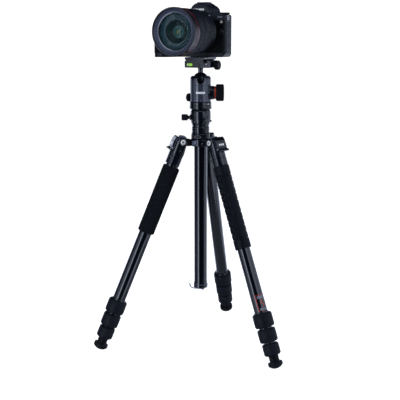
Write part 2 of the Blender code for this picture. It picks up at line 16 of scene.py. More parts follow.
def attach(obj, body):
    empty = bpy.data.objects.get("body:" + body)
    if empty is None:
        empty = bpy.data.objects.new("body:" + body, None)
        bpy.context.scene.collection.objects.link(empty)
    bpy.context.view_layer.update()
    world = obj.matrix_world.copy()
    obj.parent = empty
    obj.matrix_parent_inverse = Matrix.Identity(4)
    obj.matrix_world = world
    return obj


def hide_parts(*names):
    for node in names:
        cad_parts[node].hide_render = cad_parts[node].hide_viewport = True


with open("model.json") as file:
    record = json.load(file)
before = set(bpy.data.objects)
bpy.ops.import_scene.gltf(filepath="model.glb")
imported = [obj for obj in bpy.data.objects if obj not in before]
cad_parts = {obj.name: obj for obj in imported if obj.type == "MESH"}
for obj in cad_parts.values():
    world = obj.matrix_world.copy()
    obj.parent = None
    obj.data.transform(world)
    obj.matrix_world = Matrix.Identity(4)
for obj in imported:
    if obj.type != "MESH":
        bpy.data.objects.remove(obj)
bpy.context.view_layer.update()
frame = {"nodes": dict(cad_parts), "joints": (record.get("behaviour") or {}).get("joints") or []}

MM = 0.001
TAU = 2 * math.pi
JOINTS = {joint["name"]: joint for joint in frame["joints"]}
LEGS = ("rear", "left", "right")
ROUND = 96
INNER_GLASS_RADIUS = 0.0104


# ---------------------------------------------------------------- local frames
def basis(origin, x, y, z):
    """A matrix from millimetres in a local frame to metres in the world."""
    axes = Matrix((x, y, z)).transposed().to_4x4()
    return Matrix.Translation(origin) @ axes @ Matrix.Scale(MM, 4)


def leg_frame(name):
    """X points away from the column, Y lies along the hinge and -Z runs down the leg."""
    spread = JOINTS[f"{name}_leg_spread"]
    y = -Vector(spread["axis"])
    z = -Vector(JOINTS[f"{name}_tube_2_slide"]["axis"])
    return basis(Vector(spread["pos_m"]), y.cross(z), y, z)


def upright_frame(x):
    """Z stands on the column's axis at the floor, and X points along a given direction."""
    spot = Vector(JOINTS["ball_spin"]["pos_m"])
    z = Vector((0, 0, 1))
    return basis(Vector((spot.x, spot.y, 0)), Vector(x), z.cross(Vector(x)), z)


ROOT = upright_frame((1, 0, 0))
HEAD = upright_frame(JOINTS["ball_tilt"]["axis"])


def levels(node, place=ROOT):
    """The lowest and highest corner of a CAD node in a local frame, in millimetres."""
    inverse = place.inverted()
    points = [inverse @ v.co for v in frame["nodes"][node].data.vertices]
    low = Vector(min(p[k] for p in points) for k in range(3))
    high = Vector(max(p[k] for p in points) for k in range(3))
    return low, high


# ---------------------------------------------------------------- materials
def shader_node(made, kind, **settings):
    node = made.node_tree.nodes.new(kind)
    for name, value in settings.items():
        setattr(node, name, value)
    return node


def principled(made):
    return made.node_tree.nodes["Principled BSDF"]


def finish(name, colour, roughness, metallic=0, coat=0, coat_roughness=0.1, specular=0.5):
    made = bpy.data.materials.new(name)
    made.use_nodes = True
    inputs = principled(made).inputs
    inputs["Base Color"].default_value = (*colour, 1)
    inputs["Roughness"].default_value = roughness
    inputs["Metallic"].default_value = metallic
    inputs["Coat Weight"].default_value = coat
    inputs["Coat Roughness"].default_value = coat_roughness
    inputs["Specular IOR Level"].default_value = specular
    return made


def object_texture(made, kind, scale, stretch=(1, 1, 1)):
    """A noise or Voronoi texture in object space."""
    links = made.node_tree.links
    coords = shader_node(made, "ShaderNodeTexCoord")
    mapping = shader_node(made, "ShaderNodeMapping")
    mapping.inputs["Scale"].default_value = stretch
    texture = shader_node(made, kind)
    texture.inputs["Scale"].default_value = scale
    links.new(coords.outputs["Object"], mapping.inputs["Vector"])
    links.new(mapping.outputs["Vector"], texture.inputs["Vector"])
    return texture


def add_variation(made, colour, scale, amount, stretch=(1, 1, 1), rough_span=None):
    """Mottles the base colour, and the roughness between two values, with noise in object space."""
    links = made.node_tree.links
    clouds = object_texture(made, "ShaderNodeTexNoise", scale, stretch)
    clouds.inputs["Detail"].default_value = 6
    ramp = shader_node(made, "ShaderNodeValToRGB")
    for element, position, factor in zip(ramp.color_ramp.elements, (0.3, 0.7), (1 - amount, 1 + amount)):
        element.position = position
        element.color = (*[min(1, c * factor) for c in colour], 1)
    links.new(clouds.outputs["Fac"], ramp.inputs["Fac"])
    links.new(ramp.outputs["Color"], principled(made).inputs["Base Color"])
    if rough_span:
        spread = shader_node(made, "ShaderNodeMapRange")
        spread.inputs["To Min"].default_value, spread.inputs["To Max"].default_value = rough_span
        links.new(clouds.outputs["Fac"], spread.inputs["Value"])
        links.new(spread.outputs["Result"], principled(made).inputs["Roughness"])


def add_bump(made, kind, scale, depth, strength):
    """Adds a fine relief from noise ("noise") or cells ("cells")."""
    links = made.node_tree.links
    kind, height = {"noise": ("ShaderNodeTexNoise", "Fac"),
                    "cells": ("ShaderNodeTexVoronoi", "Distance")}[kind]
    texture = object_texture(made, kind, scale)
    bump = shader_node(made, "ShaderNodeBump")
    bump.inputs["Strength"].default_value = strength
    bump.inputs["Distance"].default_value = depth
    links.new(texture.outputs[height], bump.inputs["Height"])
    links.new(bump.outputs["Normal"], principled(made).inputs["Normal"])


def paint_edge_highlight(made, edge_highlight):
    """Lightens the mottled base colour on sharp edges: a painted highlight where edges catch the light."""
    links = made.node_tree.links
    base = principled(made).inputs["Base Color"]
    geometry = shader_node(made, "ShaderNodeNewGeometry")
    ramp = shader_node(made, "ShaderNodeMapRange")
    ramp.inputs["From Min"].default_value = 0.56
    ramp.inputs["From Max"].default_value = 0.76
    mix = shader_node(made, "ShaderNodeMix", data_type="RGBA")
    links.new(geometry.outputs["Pointiness"], ramp.inputs["Value"])
    links.new(ramp.outputs["Result"], mix.inputs["Factor"])
    links.new(base.links[0].from_socket, mix.inputs["A"])
    mix.inputs["B"].default_value = (*edge_highlight, 1)
    links.new(mix.outputs["Result"], base)


def glow(made, colour, strength):
    principled(made).inputs["Emission Color"].default_value = (*colour, 1)
    principled(made).inputs["Emission Strength"].default_value = strength


def surface(name, colour, roughness, grain=None, rough_span=None, bump=None, edge_highlight=None, stretch=(1, 1, 1),
            **more):
    """A finish with mottling (grain is its noise scale and amount), painted highlights on sharp edges and a
    bump.
    """
    made = finish(name, colour, roughness, **more)
    if grain:
        add_variation(made, colour, *grain, stretch, rough_span)
    if edge_highlight:
        paint_edge_highlight(made, edge_highlight)
    if bump:
        add_bump(made, *bump)
    return made


def make_materials():
    # A colour given for edges paints a highlight on the sharp edges of that finish.
    rows = (
        ("tube", "anodised_tube", (0.0024, 0.0032, 0.006), 0.13, (200, 0.15), (0.12, 0.15),
         {"coat": 0.4, "coat_roughness": 0.08, "stretch": (1, 1, 0.05)}),
        ("alloy", "anodised_casting", (0.0034, 0.0045, 0.0085), 0.15, (400, 0.2), (0.14, 0.17),
         {"metallic": 0.1, "specular": 0.66, "edge_highlight": (0.045, 0.052, 0.07),
          "bump": ("noise", 2600, 0.00002, 0.06)}),
        ("gloss", "gloss_black", (0.004, 0.005, 0.008), 0.14, None, None,
         {"coat": 0.5, "coat_roughness": 0.06, "bump": ("noise", 500, 0.00001, 0.1)}),
        ("lock", "lock_rubber", (0.004, 0.0052, 0.0095), 0.55, (120, 0.3), (0.48, 0.62),
         {"specular": 0.18, "bump": ("noise", 2200, 0.00004, 0.35)}),
        ("knob", "knob_rubber", (0.0044, 0.0049, 0.0062), 0.45, (150, 0.3), (0.42, 0.6),
         {"specular": 0.15, "bump": ("noise", 2500, 0.00003, 0.3)}),
        ("foam", "grip_foam", (0.0072, 0.008, 0.01), 0.95, (300, 0.5), None,
         {"specular": 0.12, "bump": ("cells", 1400, 0.00025, 0.8)}),
        ("grip", "grip_rubber", (0.0024, 0.0033, 0.0075), 0.5, (80, 0.3), (0.44, 0.56),
         {"specular": 0.14, "bump": ("noise", 3000, 0.00003, 0.3)}),
        ("doors", "door_rubber", (0.0085, 0.01, 0.0155), 0.5, (90, 0.25), (0.44, 0.56),
         {"specular": 0.3, "bump": ("noise", 3000, 0.00002, 0.25)}),
        ("foot", "foot_rubber", (0.0018, 0.0024, 0.0044), 0.5, (160, 0.35), (0.42, 0.6),
         {"specular": 0.2, "bump": ("noise", 2400, 0.00005, 0.35)}),
        ("chrome", "polished_steel", (0.78, 0.79, 0.81), 0.14, (300, 0.08), (0.1, 0.24), {"metallic": 1}),
        ("bright", "satin_bolt", (0.98, 0.94, 0.86), 0.34, (600, 0.05), (0.28, 0.4),
         {"metallic": 0.1, "specular": 0.8}),
        ("wire", "plated_wire", (0.52, 0.53, 0.55), 0.4, (400, 0.15), (0.34, 0.46), {"metallic": 0.4}),
        ("lever", "grey_lever", (0.16, 0.18, 0.23), 0.36, (200, 0.25), (0.3, 0.45),
         {"metallic": 0.6, "edge_highlight": (0.42, 0.44, 0.5)}),
        ("orange", "orange_ring", (0.72, 0.075, 0.035), 0.3, (250, 0.15), (0.25, 0.4),
         {"metallic": 0.35, "coat": 0.3}),
        ("red", "red_line", (0.44, 0.015, 0.03), 0.35, (200, 0.15), None, {"coat": 0.3}),
        ("vial", "level_vial", (0.42, 0.9, 0.08), 0.08, (120, 0.15), None,
         {"coat": 1, "coat_roughness": 0.03}),
        ("bubble", "level_bubble", (0.72, 0.95, 0.42), 0.05, (200, 0.1), None,
         {"coat": 1, "coat_roughness": 0.02}),
        ("shell", "camera_shell", (0.0038, 0.005, 0.009), 0.44, (120, 0.2), (0.4, 0.5),
         {"specular": 0.28, "edge_highlight": (0.02, 0.023, 0.032), "bump": ("cells", 2600, 0.00004, 0.25)}),
        ("skin", "camera_leatherette", (0.0012, 0.0015, 0.0026), 0.6, (160, 0.35), (0.52, 0.68),
         {"specular": 0.14, "bump": ("cells", 1100, 0.0002, 0.7)}),
        ("barrel", "lens_barrel", (0.0055, 0.0066, 0.011), 0.34, (150, 0.2), (0.3, 0.38),
         {"metallic": 0.15, "bump": ("noise", 3000, 0.00001, 0.2)}),
        # The front bevel's light lilac grey is partly its own tone and partly painted light from the front.
        ("bevel", "lens_front_bevel", (0.078, 0.088, 0.128), 0.4, (150, 0.12), (0.36, 0.46),
         {"metallic": 0.3}),
        ("ribs", "lens_ribs", (0.0036, 0.0052, 0.0115), 0.5, (130, 0.25), (0.42, 0.54),
         {"specular": 0.22, "bump": ("noise", 2600, 0.00002, 0.3)}),
        ("paint", "white_mark", (0.95, 0.92, 0.84), 0.45, (300, 0.1), None, {}),
        ("grey", "grey_mark", (0.36, 0.38, 0.42), 0.5, (300, 0.15), None, {}),
        ("cavity", "matt_black", (0.004, 0.0045, 0.006), 0.8, (200, 0.3), None, {}),
        ("pad", "plate_pad", (0.012, 0.012, 0.013), 0.85, (250, 0.4), None,
         {"bump": ("cells", 900, 0.0002, 0.6)}),
        ("well", "lens_well", (0.014, 0.05, 0.056), 0.34, (900, 0.08), None, {"specular": 0.4}),
        ("deep", "lens_deep_well", (0.007, 0.02, 0.014), 0.3, (900, 0.1), None, {"specular": 0.4}),
        # The inner rings' lighter grey is a painted ring highlight.
        ("rim", "lens_inner_rim", (0.03, 0.036, 0.036), 0.34, (900, 0.1), None, {"metallic": 0.2}),
        ("screen", "screen_face", (0.006, 0.007, 0.009), 0.06, (30, 0.15), None,
         {"coat": 1, "coat_roughness": 0.02}),
        ("sensor", "sensor_face", (0.05, 0.08, 0.1), 0.08, (60, 0.3), None,
         {"metallic": 0.3, "coat": 1, "coat_roughness": 0.02}),
    )
    made = {}
    for look, name, colour, roughness, grain, rough_span, more in rows:
        made[look] = surface(name, colour, roughness, grain, rough_span, **more)
    # The level vial and the white marks glow though they hold no lamp: painted light.
    glow(made["vial"], (0.42, 0.9, 0.1), 0.25)
    glow(made["paint"], (0.9, 0.95, 1), 0.16)
    made["front_glass"] = coated_glass()
    made["inner_glass"] = inner_glass()
    return made


def coated_glass():
    """Clear front element with a thin teal coating that shows most at a flat angle."""
    made = finish("front_glass", (0.01, 0.05, 0.058), 0.03, specular=0.12)
    links = made.node_tree.links
    facing = shader_node(made, "ShaderNodeLayerWeight")
    facing.inputs["Blend"].default_value = 0.3
    cover = shader_node(made, "ShaderNodeMapRange")
    cover.inputs["To Min"].default_value = 0.06
    cover.inputs["To Max"].default_value = 0.5
    links.new(facing.outputs["Facing"], cover.inputs["Value"])
    links.new(cover.outputs["Result"], principled(made).inputs["Alpha"])
    return made


def inner_glass():
    """Deep elements: dark green glass with warmer rings towards the middle, which are painted reflections of
    the coatings.
    """
    made = finish("inner_glass", (0.012, 0.035, 0.032), 0.1, specular=0.3)
    links = made.node_tree.links
    inputs = principled(made).inputs
    coords = shader_node(made, "ShaderNodeTexCoord")
    flat = shader_node(made, "ShaderNodeVectorMath", operation="MULTIPLY")
    flat.inputs[1].default_value = (1, 1, 0)
    length = shader_node(made, "ShaderNodeVectorMath", operation="LENGTH")
    scale = shader_node(made, "ShaderNodeMath", operation="MULTIPLY")
    scale.inputs[1].default_value = 1 / INNER_GLASS_RADIUS
    ramp = shader_node(made, "ShaderNodeValToRGB")
    stops = (
        (0, (0.03, 0.05, 0.012)), (0.16, (0.065, 0.085, 0.02)), (0.26, (0.02, 0.038, 0.016)),
        (0.45, (0.01, 0.026, 0.022)), (0.75, (0.012, 0.036, 0.036)), (1, (0.02, 0.062, 0.068)),
    )
    elements = ramp.color_ramp.elements
    while len(elements) < len(stops):
        elements.new(0.5)
    for element, (position, colour) in zip(elements, stops):
        element.position = position
        element.color = (*colour, 1)
    links.new(coords.outputs["Object"], flat.inputs[0])
    links.new(flat.outputs["Vector"], length.inputs[0])
    links.new(length.outputs["Value"], scale.inputs[0])
    links.new(scale.outputs["Value"], ramp.inputs["Fac"])
    links.new(ramp.outputs["Color"], inputs["Base Color"])
    # The ring colours also glow: painted light.
    links.new(ramp.outputs["Color"], inputs["Emission Color"])
    inputs["Emission Strength"].default_value = 0.9
    return made


# ---------------------------------------------------------------- mesh helpers
def fillet(points, closed=False, steps=4):
    """Rounds a polyline's corners. A point is (a, b) for a sharp corner or (a, b, radius)."""
    made = []
    last = len(points) - 1
    for k, point in enumerate(points):
        radius = point[2] if len(point) > 2 else 0
        here = Vector(point[:2])
        if radius <= 0 or (not closed and k in (0, last)):
            made.append(tuple(here))
            continue
        back = Vector(points[k - 1][:2]) - here
        ahead = Vector(points[(k + 1) % len(points)][:2]) - here
        bend = back.angle(ahead)
        if bend < 0.01 or bend > math.pi - 0.01:
            made.append(tuple(here))
            continue
        reach = min(radius / math.tan(bend / 2), back.length * 0.49, ahead.length * 0.49)
        radius = reach * math.tan(bend / 2)
        start, end = here + back.normalized() * reach, here + ahead.normalized() * reach
        middle = here + (back.normalized() + ahead.normalized()).normalized() * radius / math.sin(bend / 2)
        first, sweep = start - middle, (start - middle).angle_signed(end - middle)
        for step in range(steps + 1):
            made.append(tuple(middle + Matrix.Rotation(-sweep * step / steps, 2) @ first))
    return made


def at(level, *points):
    """Points of a profile whose second numbers are counted from a level."""
    return [(across, level + along, *rounding) for across, along, *rounding in points]


def rect(x_low, y_low, x_high, y_high, radius, top_radius=None, steps=4):
    """A rectangle with rounded corners."""
    top = radius if top_radius is None else top_radius
    corners = [(x_low, y_low, radius), (x_high, y_low, radius), (x_high, y_high, top), (x_low, y_high, top)]
    return fillet(corners, True, steps)


def densify(points, longest):
    """Adds points so that no stretch of a polyline is longer than a given length."""
    made = [points[0]]
    for a, b in zip(points, points[1:]):
        count = max(1, math.ceil(math.dist(a, b) / longest))
        made += [tuple(Vector(a).lerp(Vector(b), k / count)) for k in range(1, count + 1)]
    return made


def turned(profile, sides=ROUND, relief=None):
    """A solid turned round Z from (radius, height) points. It is open-ended where the profile starts and
    ends on the axis, and a ring otherwise. relief(angle, height, radius) moves points outwards."""
    bm = bmesh.new()
    rings = []
    for radius, height in profile:
        if radius == 0:
            rings.append([bm.verts.new((0, 0, height))])
            continue
        ring = []
        for k in range(sides):
            angle = TAU * k / sides
            reach = radius + (relief(angle, height, radius) if relief else 0)
            ring.append(bm.verts.new((reach * math.cos(angle), reach * math.sin(angle), height)))
        rings.append(ring)
    whole = len(rings[0]) == 1
    for low, high in zip(rings, rings[1:] if whole else rings[1:] + rings[:1]):
        if len(low) == 1 and len(high) == 1:
            continue
        for k in range(sides):
            corners = [low[k % len(low)], low[(k + 1) % len(low)]]
            corners += [high[(k + 1) % len(high)], high[k % len(high)]]
            bm.faces.new(list(dict.fromkeys(corners)))
    return bm


def spun(points, sides=ROUND, closed=False, step=None, relief=None):
    """A turned solid whose profile has rounded corners, and short steps for a relief."""
    profile = fillet(points, closed)
    return turned(densify(profile, step) if step else profile, sides, relief)


def lofted(sections):
    """A solid through closed sections of equally many 3-D points."""
    bm = bmesh.new()
    rings = [[bm.verts.new(p) for p in section] for section in sections]
    count = len(rings[0])
    for low, high in zip(rings, rings[1:]):
        for k in range(count):
            bm.faces.new((low[k], low[(k + 1) % count], high[(k + 1) % count], high[k]))
    bm.faces.new(rings[0])
    bm.faces.new(rings[-1])
    return bm


def swept(path, radius, sides=20):
    """A round bar along 3-D points, with rounded ends. radius is a number or a list of one per point."""
    points = [Vector(p) for p in path]
    radii = radius if isinstance(radius, list) else [radius] * len(points)
    tangents = []
    for k in range(len(points)):
        tangents.append((points[min(k + 1, len(points) - 1)] - points[max(k - 1, 0)]).normalized())
    side = tangents[0].orthogonal().normalized()
    sections = []
    for k, (point, tangent, reach) in enumerate(zip(points, tangents, radii)):
        side = (side - tangent * side.dot(tangent)).normalized()
        other = tangent.cross(side)
        rings = [(0, 1)]
        if k == 0:
            rings = [(-0.9, 0.35), (-0.55, 0.8), (0, 1)]
        if k == len(points) - 1:
            rings = [(0, 1), (0.55, 0.8), (0.9, 0.35)]
        for along, wide in rings:
            centre = point + tangent * along * reach
            angles = [TAU * n / sides for n in range(sides)]
            sections.append([centre + (side * math.cos(a) + other * math.sin(a)) * reach * wide
                             for a in angles])
    return lofted(sections)


def smooth_path(points, count):
    """Points on a smooth curve through the given ones."""
    points = [Vector(p) for p in points]
    padded = [points[0] * 2 - points[1], *points, points[-1] * 2 - points[-2]]
    made = []
    spans = len(points) - 1
    for k in range(count + 1):
        place = min(k / count * spans, spans - 1e-9)
        span, t = int(place), place - int(place)
        a, b, c, d = padded[span:span + 4]
        made.append(0.5 * (2 * b + (c - a) * t + (2 * a - 5 * b + 4 * c - d) * t**2
                           + (3 * b - a - 3 * c + d) * t**3))
    return made


def plate(outline, low, high, plane="XY"):
    """An outline given in one plane, made solid along the third axis."""
    order = {"XY": (0, 1, 2), "XZ": (0, 2, 1), "YZ": (2, 0, 1)}[plane]
    return lofted([[[(a, b, c)[k] for k in order] for a, b in outline] for c in (low, high)])


def slab(low, high):
    """A box between two corners."""
    bm = bmesh.new()
    bmesh.ops.create_cube(bm, size=1)
    size = Vector(high) - Vector(low)
    bm.transform(Matrix.Translation((Vector(low) + Vector(high)) / 2) @ Matrix.Diagonal((*size, 1)))
    return bm


def arc(centre, radius, start, end, steps):
    """Points on an arc, in degrees."""
    angles = [math.radians(start + (end - start) * k / steps) for k in range(steps + 1)]
    return [(centre[0] + radius * math.cos(a), centre[1] + radius * math.sin(a)) for a in angles]


def curved_patch(radius, thick, turn_low, turn_high, low, high, steps=24):
    """A thin sheet wrapped on a cylinder round Z, between two angles in degrees and two heights."""
    inner = [(radius * math.cos(math.radians(a)), radius * math.sin(math.radians(a)))
             for a in (turn_low + (turn_high - turn_low) * k / steps for k in range(steps + 1))]
    outer = [(x * (radius + thick) / radius, y * (radius + thick) / radius) for x, y in inner]
    return plate(inner + outer[::-1], low, high)


def merged(*parts):
    """Several bmeshes as one, for a group of small pieces that move together."""
    whole = bmesh.new()
    for part in parts:
        mesh = bpy.data.meshes.new("part")
        part.to_mesh(mesh)
        part.free()
        whole.from_mesh(mesh)
        bpy.data.meshes.remove(mesh)
    return whole


def moved(bm, matrix):
    bm.transform(matrix)
    return bm


def shift(x, y, z):
    return Matrix.Translation((x, y, z))


def turn(degrees, axis):
    return Matrix.Rotation(math.radians(degrees), 4, axis)


ALONG_X = turn(90, "Y")
ALONG_Y = turn(-90, "X")


def make(name, bm, place, look, body, replaces=(), slot="anodised_alloy", bevel=0, sharp=35,
         own_frame=False):
    """Makes an object from a bmesh in a local frame's millimetres, and puts it on its body. Its texture
    coordinates are the world's, unless it keeps the local frame as its own."""
    bm.transform(Matrix.Scale(MM, 4) if own_frame else place)
    bmesh.ops.recalc_face_normals(bm, faces=bm.faces)
    mesh = bpy.data.meshes.new(name)
    bm.to_mesh(mesh)
    bm.free()
    mesh.shade_smooth()
    mesh.materials.append(LOOKS[look])
    made = bpy.data.objects.new(name, mesh)
    bpy.context.scene.collection.objects.link(made)
    if own_frame:
        made.matrix_world = place @ Matrix.Scale(1 / MM, 4)
    if bevel:
        round_off = made.modifiers.new("edges", "BEVEL")
        round_off.width = bevel * MM
        round_off.segments = 3
        round_off.limit_method = "ANGLE"
        round_off.angle_limit = math.radians(sharp)
    mesh.set_sharp_from_angle(angle=math.radians(sharp))
    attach(made, body)
    if replaces:
        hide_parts(*replaces)
    return made


def combined(bm, operation, *others):
    """The bmesh after booleans with others, all in one local frame's millimetres."""
    made = []
    for part in (bm, *others):
        bmesh.ops.recalc_face_normals(part, faces=part.faces)
        mesh = bpy.data.meshes.new("boolean_part")
        part.to_mesh(mesh)
        part.free()
        made.append(bpy.data.objects.new("boolean_part", mesh))
        bpy.context.scene.collection.objects.link(made[-1])
    for other in made[1:]:
        change = made[0].modifiers.new("boolean", "BOOLEAN")
        change.operation = operation
        change.solver = "EXACT"
        change.object = other
    bpy.context.view_layer.update()
    result = bmesh.new()
    result.from_object(made[0], bpy.context.evaluated_depsgraph_get())
    for helper in made:
        mesh = helper.data
        bpy.data.objects.remove(helper)
        bpy.data.meshes.remove(mesh)
    return result


def cut_off(bm, point, outwards):
    """Cuts away what lies beyond a plane, and closes the cut."""
    geometry = bm.verts[:] + bm.edges[:] + bm.faces[:]
    bmesh.ops.bisect_plane(bm, geom=geometry, plane_co=point, plane_no=outwards, clear_outer=True)
    bmesh.ops.holes_fill(bm, edges=[e for e in bm.edges if e.is_boundary])
    return bm


def above_floor(bm, place):
    """Cuts away what reaches below the floor."""
    inverse = place.inverted()
    return cut_off(bm, inverse @ Vector((0, 0, 0)), (inverse.to_3x3() @ Vector((0, 0, -1))).normalized())


def smoothstep(low, high, value):
    t = max(0, min(1, (value - low) / (high - low)))
    return t * t * (3 - 2 * t)


def within(value, low, high, fade):
    """1 inside a span, falling to 0 at its ends."""
    return smoothstep(low, low + fade, value) * (1 - smoothstep(high - fade, high, value))


def ribs(count, depth, low, high, fade=1, power=1, beyond=0):
    """A relief of upright ribs between two heights, on what lies beyond a radius."""
    def relief(angle, height, radius):
        if radius <= beyond:
            return 0
        wave = 0.5 + 0.5 * math.cos(angle * count)
        return depth * within(height, low, high, fade) * (wave**power - 1)
    return relief


def ripple(depth, count, beyond):
    """A relief of plain waves all round, beyond a radius."""
    return lambda angle, height, radius: depth * math.cos(count * angle) if radius > beyond else 0


# ---------------------------------------------------------------- tripod: legs
CHEEK_INNER, CHEEK_OUTER = 6.8, 12.9
SLEEVE_END = -46
LOCK_RADII = (18, 16.8, 15.3)
TUBE_RADII = (12, 10.2, 8.5, 6.8)
TUBE_WALL = 1.2


def leg_bracket(name, place):
    """The casting on top of a leg: two rounded cheeks round the hinge, and a sleeve with raised pads."""
    side = [*arc((0, 0), 8.6, 0, 180, 24), (-11.4, -22), (-11.4, -25), (11.4, -25), (11.4, -22)]
    pill = spun([(0, -27), (14.3, -27), (14.3, 4), (13.2, 10, 3), (0, 10)])
    cheeks = merged(plate(side, CHEEK_INNER, CHEEK_OUTER, "XZ"),
                    plate(side, -CHEEK_OUTER, -CHEEK_INNER, "XZ"))
    cheeks = combined(cheeks, "INTERSECT", pill)
    make(f"{name}_bracket_cheeks", cheeks, place, "alloy", f"{name}_leg", bevel=0.9)

    def pads(angle, height, radius):
        if radius < 12.2:
            return 0
        bearing = math.degrees(angle)
        raised = 0
        for middle, half, high in ((0, 34, 1.9), (90, 30, 1), (270, 30, 1), (360, 34, 1.9)):
            edge = 1 - smoothstep(half - 3, half + 3, abs(bearing - middle))
            raised = max(raised, high * edge)
        return raised

    profile = [(11.2, -16), (12.6, -16, 0.5), (12.8, -24, 0.4), (12.8, -30.6), (12.3, -31), (12.3, -31.7),
               (12.8, -32.1), (12.8, SLEEVE_END, 1.2), (11.2, SLEEVE_END)]
    sleeve = spun(profile, 180, step=3, relief=pads)
    make(f"{name}_bracket_sleeve", sleeve, place, "alloy", f"{name}_leg")
    plug = spun([(0, -15.2), (11.8, -15.2, 1), (11.8, -18), (0, -18)], 64)
    make(f"{name}_bracket_web", plug, place, "alloy", f"{name}_leg")


def hinge_bolt(name, place):
    """Both ends of the hinge bolt: a dished bright cap with a hex socket in a black ring."""
    for side, label in ((1, "near"), (-1, "far")):
        spot = place @ turn(-90 * side, "X")
        ring = spun([(5.5, 12.2), (7.2, 12.2), (7.2, 14.2, 0.7), (6.6, 15, 0.4), (5.5, 15, 0.3)], 64,
                    closed=True)
        make(f"{name}_bolt_ring_{label}", ring, spot, "gloss", "tripod_base", slot="cast_alloy")
        profile = [(0, 12.4), (5.6, 12.4), *arc((0, 7.9), 7.6, 42.5, 68, 8), (2.7, 13.7), (0, 13.7)]
        cap = combined(spun(profile, 64), "DIFFERENCE", plate(arc((0, 0), 2, 0, 300, 5), 12.9, 15.5))
        make(f"{name}_bolt_cap_{label}", cap, spot, "bright", "tripod_base", slot="steel_wire")


def angle_lever(name, place):
    """The sprung stop: a black cover with a pull lip over a grey toothed slide."""
    cover = [(11.2, 5.4, 0.5), (12.6, 7.6, 1), (15, 4.6, 2), (16.6, -1, 3), (16.9, -9, 3), (16.5, -16.2, 1),
             (20.2, -18.8, 0.8), (21.2, -20.4, 0.5), (20.6, -21.4, 0.5), (13.5, -21.4), (13.5, 2, 1)]
    body = plate(fillet(cover, True), -12.4, 12.4, "XZ")
    grooves = [slab((16, -13, z), (20, 13, z + 0.6)) for z in (-3.6, -14.6)]
    body = combined(body, "DIFFERENCE", *grooves)
    bodyname = f"{name}_angle_lever"
    make(f"{name}_lever_cover", body, place, "alloy", bodyname, [bodyname], slot="toothed_lever", bevel=0.35)
    if name != "rear":
        spans = ((-6.2, 3), (-2.6, 2), (0, 1.8), (2.4, 3.6))
        bars = merged(*[slab((16.5, y, -10.4), (17.15, y + wide, -7.2)) for y, wide in spans])
        make(f"{name}_lever_mark", bars, place, "paint", bodyname, slot="toothed_lever")
    slide = [(11.9, 4), (13.2, 6), (13.2, -20), (11.9, -19)]
    make(f"{name}_lever_slide", plate(slide, -11.6, 11.6, "XZ"), place, "lever", bodyname,
         slot="toothed_lever", bevel=0.3)
    pin = [(0, 12.2), (1.9, 12.2), (1.9, 13.1, 0.4), (0, 13.1)]
    ends = [moved(spun(pin, 32), shift(15.6, 0, -17.8) @ turn(-90 * side, "X")) for side in (1, -1)]
    make(f"{name}_lever_pins", merged(*ends), place, "chrome", bodyname, slot="steel_wire")


def stop_sector(name, place):
    """The grey toothed sector on the spider's arm, whose notches are the three spread angles."""
    outline = [(0, 0), *arc((0, 0), 11.6, -8, 118, 42)]
    notches = [moved(slab((10.2, -6, -0.9), (13, 6, 0.9)), turn(-bearing, "Y")) for bearing in (12, 38, 72)]
    sector = combined(plate(outline, -4.6, 4.6, "XZ"), "DIFFERENCE", *notches)
    make(f"{name}_stop_sector", sector, place, "lever", "tripod_base", slot="cast_alloy", bevel=0.25)


def leg_tubes(name, place):
    tubes = [f"{name}_leg_upper"] + [f"{name}_leg_tube_{k}" for k in (2, 3, 4)]
    bodies = [f"{name}_leg"] + [f"{name}_tube_{k}" for k in (2, 3, 4)]
    for k, (node, body) in enumerate(zip(tubes, bodies)):
        low, high = levels(node, place)
        top = -20 if k == 0 else high.z
        radius, inner = TUBE_RADII[k], TUBE_RADII[k] - TUBE_WALL
        profile = [(inner, low.z), (radius, low.z, 0.3), (radius, top, 0.3), (inner, top)]
        tube = spun(profile, closed=True)
        make(f"{name}_tube_{k + 1}_skin", tube, place, "tube", body, [node], own_frame=True)


def twist_locks(name, place):
    holders = (f"{name}_leg", f"{name}_tube_2", f"{name}_tube_3")
    for k in (1, 2, 3):
        node = f"{name}_twist_lock_{k}"
        low, high = levels(node, place)
        bottom, top, radius = low.z, high.z, LOCK_RADII[k - 1]
        bore = TUBE_RADII[k - 1] + 0.45
        narrow = TUBE_RADII[k] + 0.45
        step = top - 16
        outline = [(bore, top), (bore, step), (narrow, step),
                   *at(bottom, (narrow, 0), (radius - 2.6, 0, 0.6), (radius - 0.9, 1.4, 0.8),
                       (radius, 3.2, 1), (radius, 4.4), (radius - 0.35, 5), (radius, 5.6)),
                   *at(top, (radius, -6.4), (radius - 0.35, -5.8), (radius, -5.2), (radius, -3.2, 1.6),
                       (radius - 1.4, -0.8, 0.9), (radius - 3, 0, 0.4))]
        relief = ribs(44, 0.55, bottom + 5.4, top - 6.2, 0.7, 0.6, beyond=narrow + 3.2)
        body = spun(outline, 264, closed=True, relief=relief)
        make(f"{name}_lock_{k}_sleeve", body, place, "lock", node, [node], slot="lock_rubber")
        inner, neck = TUBE_RADII[k - 1] + 0.05, TUBE_RADII[k - 1] + 1.5
        ring = spun(at(top, (inner, -1.5), (bore - 0.05, -1.5), (bore - 0.05, 0.3), (neck, 0.3),
                       (neck, 1.6, 0.6), (neck - 0.9, 2.5, 0.4), (inner, 2.5)), closed=True)
        make(f"{name}_lock_{k}_neck", ring, place, "gloss", holders[k - 1])


